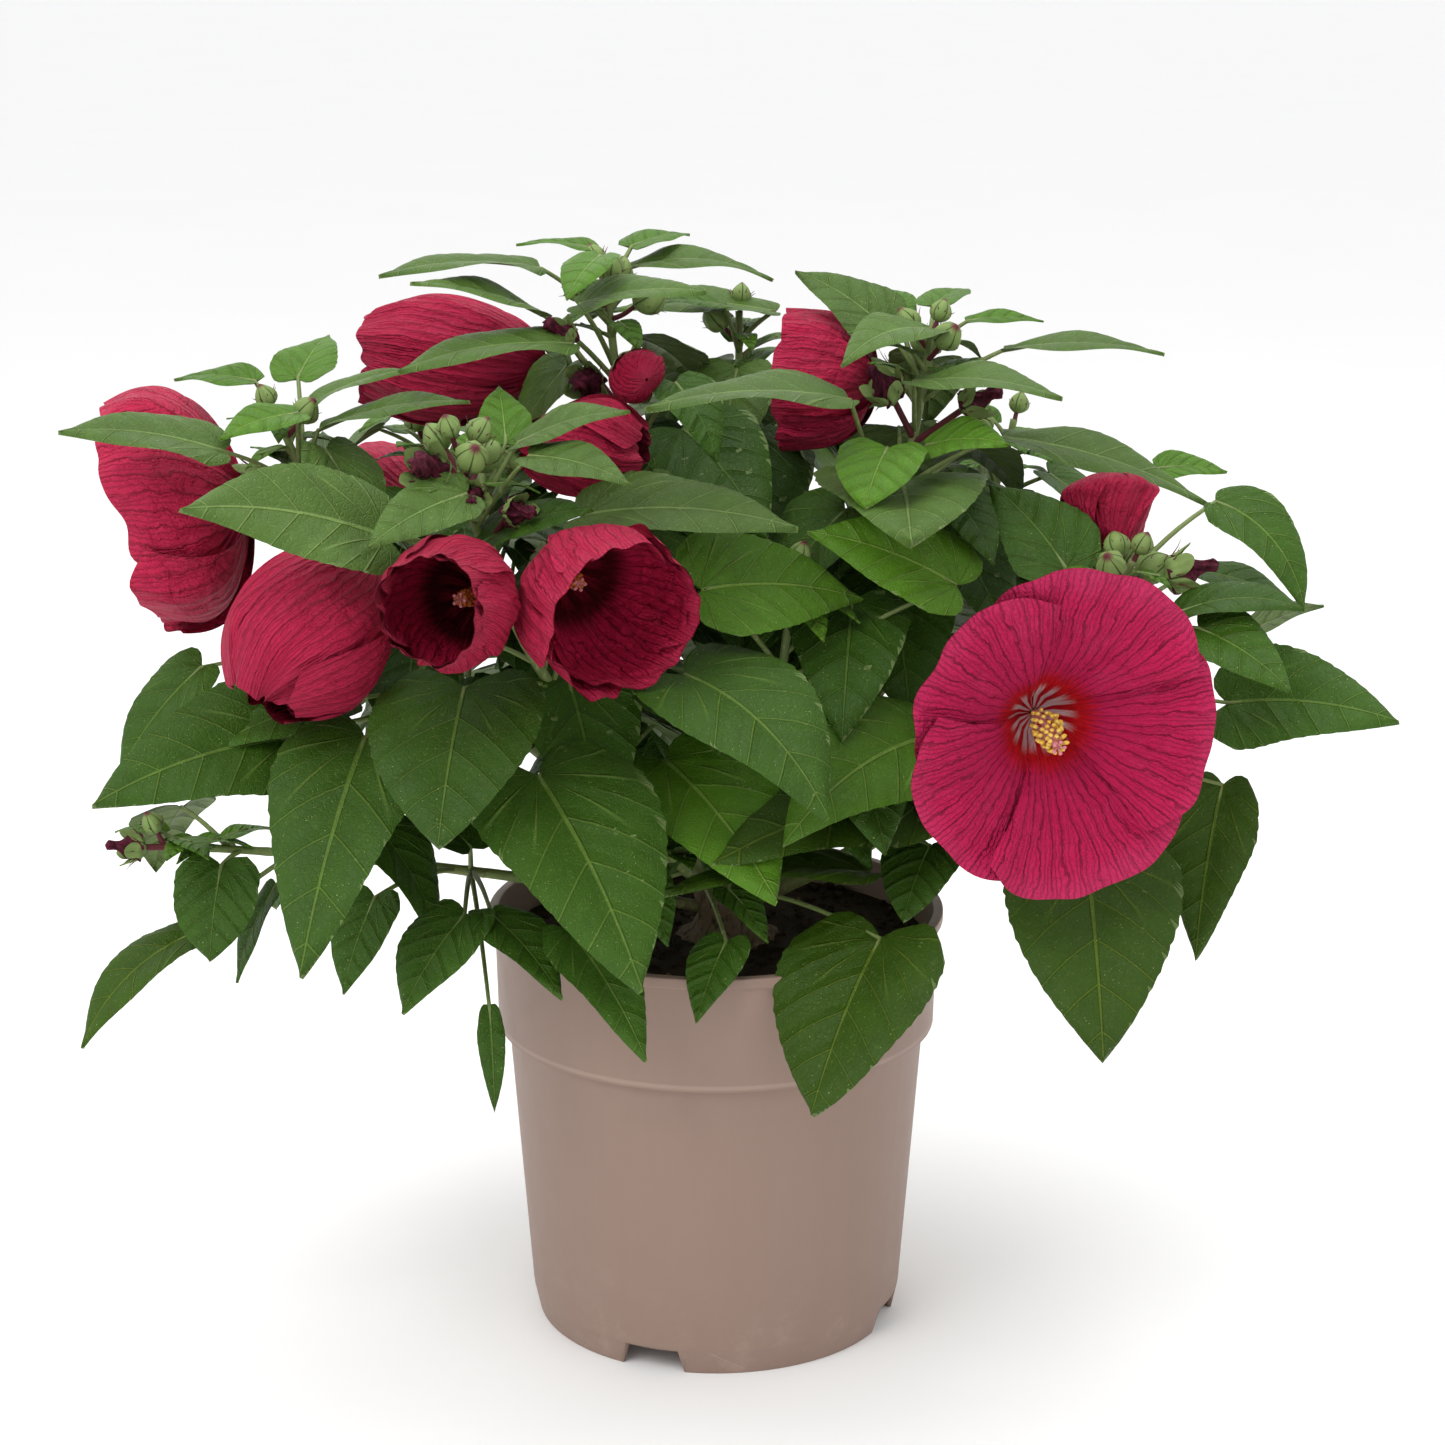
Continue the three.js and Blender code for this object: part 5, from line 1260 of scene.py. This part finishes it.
petals = {kind: [] for kind in CRIMSONS}
carried = {kind: [] for kind in CRIMSONS}
calyces, stalks, columns, anthers, stigmas = [], [], [], [], []
for name, bloom in BLOOMS.items():
    foot, way = np.array(bloom["foot"], float), direction(*bloom["looks"])
    for k in range(COROLLA["petals"]):
        petals[bloom["finish"]] += petal_patches(bloom, k, luck.random())
    carried[bloom["finish"]].append(f"bloom_{name}")
    seat = foot - way * COROLLA["calyx"]
    calyces.append(sepals(seat, way, COROLLA["sepals"], COROLLA["calyx_radius"], 0.8))
    calyces += bract_ruff(foot - way * 15, way, 5.5, 13, COROLLA["bracts"], 0.7)
    stalks.append(flower_stalk(bloom, foot, way))
    tall = bloom["depth"] * bloom["column"]
    sag = np.array([0, 0, -7.0]) if bloom["finish"] == "open" else np.zeros(3)
    t = even_shares(12)
    line = foot + way * (1 + (tall - 2) * t) + sag * t ** 2
    columns.append(tube(line, np.linspace(*COROLLA["column_radii"], 12), 12, tone=0.5))
    for i in range(STAMENS["count"]):
        angle, high = STAMENS["turn"] * i, STAMENS["first"] + STAMENS["spread"] * i / STAMENS["count"]
        out = spoke(axes_of(way), angle)
        seat = foot + way * tall * high + sag * high ** 2
        reach = BRUSH[bloom["finish"]] * (0.75 + 0.35 * luck.random())
        reach = reach * (1 - 0.4 * max(0, high - 0.7) / 0.3)
        thread = [seat + out, seat + out * reach * 0.6 + way * 0.5, seat + out * reach + way * 0.9]
        columns.append(tube(thread, STAMENS["radii"], 4, tone=0.6))
        anther = lump(seat + out * reach + way, (1.45, 1.1, 1.0), angle, 5, 7, 0.25)
        # The second number marks anthers inside a cupped or rolled flower, which are given painted shade.
        mark = np.array([luck.random(), bloom["finish"] != "open", 0])
        anthers.append(patch(anther, closed=True, place=mark))
    for i in range(COROLLA["petals"]):
        out = spoke(axes_of(way), 2 * math.pi * i / COROLLA["petals"])
        seat = foot + way * (tall - 1) + sag
        thread = [seat, seat + out * 1.1 + way * 1.4, seat + out * 2.6 + way * 2.1]
        stigmas.append(tube(thread, [0.4, 0.36, 0.32], 6))
        knob = lump(seat + out * 2.8 + way * 2.3, (0.95, 0.95, 0.9), 0, 6, 8, 0.2)
        stigmas.append(patch(knob, closed=True))

for kind, sheets in petals.items():
    nodes = carried[kind]
    if kind == "cupped":
        sheets, nodes = sheets + opening, nodes + ["foliage_back_high"]
    join(f"petals_{kind}", sheets, petal_finish(kind, **CRIMSONS[kind]), "petal", *nodes)
all_blooms = [f"bloom_{name}" for name in BLOOMS]
join("flower_calyces", calyces, bud_skin, "stem", *all_blooms)
join("flower_stalks", stalks, stem_skin, "stem", *all_blooms)

COLUMN_PINK = (0.80, 0.42, 0.38, 1)
COLUMN_RED = (0.62, 0.10, 0.14, 1)
column_skin, place = new_finish("stamen_column", 0.5, 0.35)
colour = place.noise(800, detail=3).mix(COLUMN_PINK, COLUMN_RED)
coat_with(column_skin, colour, relief=place.noise(1500), depth=0.0003)
join("stamen_columns", columns, column_skin, "petal", *all_blooms)

POLLEN = (0.83, 0.50, 0.05, 1)
POLLEN_PALE = (0.92, 0.72, 0.22, 1)
# An orange-red painted shade for the anthers inside cupped and rolled flowers.
POLLEN_IN_PAINTED_SHADE = (0.62, 0.10, 0.03, 1)
pollen, place = new_finish("pollen_yellow", 0.9, 0.15)
tone, closed, _ = place.mark().parts()
grains = place.noise(3200, detail=2)
colour = (tone * 0.5 + grains.step(0.45, 0.7) * 0.4).least(1).mix(POLLEN, POLLEN_PALE)
# Anthers inside cupped and rolled flowers are turned orange-red as painted shade.
colour = (closed * 0.75).mix(colour, POLLEN_IN_PAINTED_SHADE)
coat_with(pollen, colour, relief=grains, depth=0.0005)
join("anthers", anthers, pollen, "petal", *all_blooms)

STIGMA_RED = (0.55, 0.10, 0.16, 1)
STIGMA_PINK = (0.80, 0.38, 0.40, 1)
stigma_skin, place = new_finish("stigma_skin", 0.6, 0.3)
velvet = place.noise(2800, detail=2)
coat_with(stigma_skin, velvet.mix(STIGMA_RED, STIGMA_PINK), relief=velvet, depth=0.0004)
join("stigmas", stigmas, stigma_skin, "petal", *all_blooms)


# The setting: a plain pale floor that runs out of sight, soft studio light from above and both
# sides, and the camera where the photograph was taken from.

CAMERA = {"place": (0.0033, -1.546, 0.7225), "down": 14.93, "lens": 79.8}
FLOOR = {"reach": 40, "pale": (0.93, 0.93, 0.93, 1), "paler": (0.95, 0.95, 0.95, 1)}
LIGHTS = {
    "key": {"place": (-1.1, -1.5, 2.1), "size": 1.5, "power": 24},
    "fill": {"place": (1.7, -1.2, 1.3), "size": 1.8, "power": 2},
    "top": {"place": (0.1, 0.4, 2.4), "size": 1.8, "power": 17},
    "back": {"place": (-0.6, 1.9, 1.5), "size": 1.6, "power": 5},
}

floor_mesh = bpy.data.meshes.new("floor")
corners = [(x * FLOOR["reach"], y * FLOOR["reach"], 0) for x, y in ((-1, -1), (1, -1), (1, 1), (-1, 1))]
floor_mesh.from_pydata(corners, [], [(0, 1, 2, 3)])
floor = bpy.data.objects.new("floor", floor_mesh)
bpy.context.collection.objects.link(floor)
pale_floor, place = new_finish("pale_floor", 0.7, 0.2)
coat_with(pale_floor, place.noise(3, detail=2).mix(FLOOR["pale"], FLOOR["paler"]))
floor_mesh.materials.append(pale_floor)

for name, light in LIGHTS.items():
    lamp = bpy.data.lights.new(name, "AREA")
    lamp.shape = "DISK"
    lamp.size = light["size"]
    lamp.energy = light["power"]
    fixture = bpy.data.objects.new(name, lamp)
    fixture.location = light["place"]
    fixture.rotation_euler = (Vector((0, 0, 0.3)) - fixture.location).to_track_quat("-Z", "Y").to_euler()
    bpy.context.collection.objects.link(fixture)

world = bpy.data.worlds.new("studio")
world.use_nodes = True
world.node_tree.nodes["Background"].inputs["Color"].default_value = (1, 1, 1, 1)
world.node_tree.nodes["Background"].inputs["Strength"].default_value = 1.0
bpy.context.scene.world = world
bpy.context.scene.view_settings.view_transform = "Standard"

lens = bpy.data.cameras.new("camera")
lens.lens = CAMERA["lens"]
lens.sensor_width = 36
camera = bpy.data.objects.new("camera", lens)
camera.location = CAMERA["place"]
camera.rotation_euler = (math.radians(90 - CAMERA["down"]), 0, 0)
bpy.context.collection.objects.link(camera)
bpy.context.scene.camera = camera
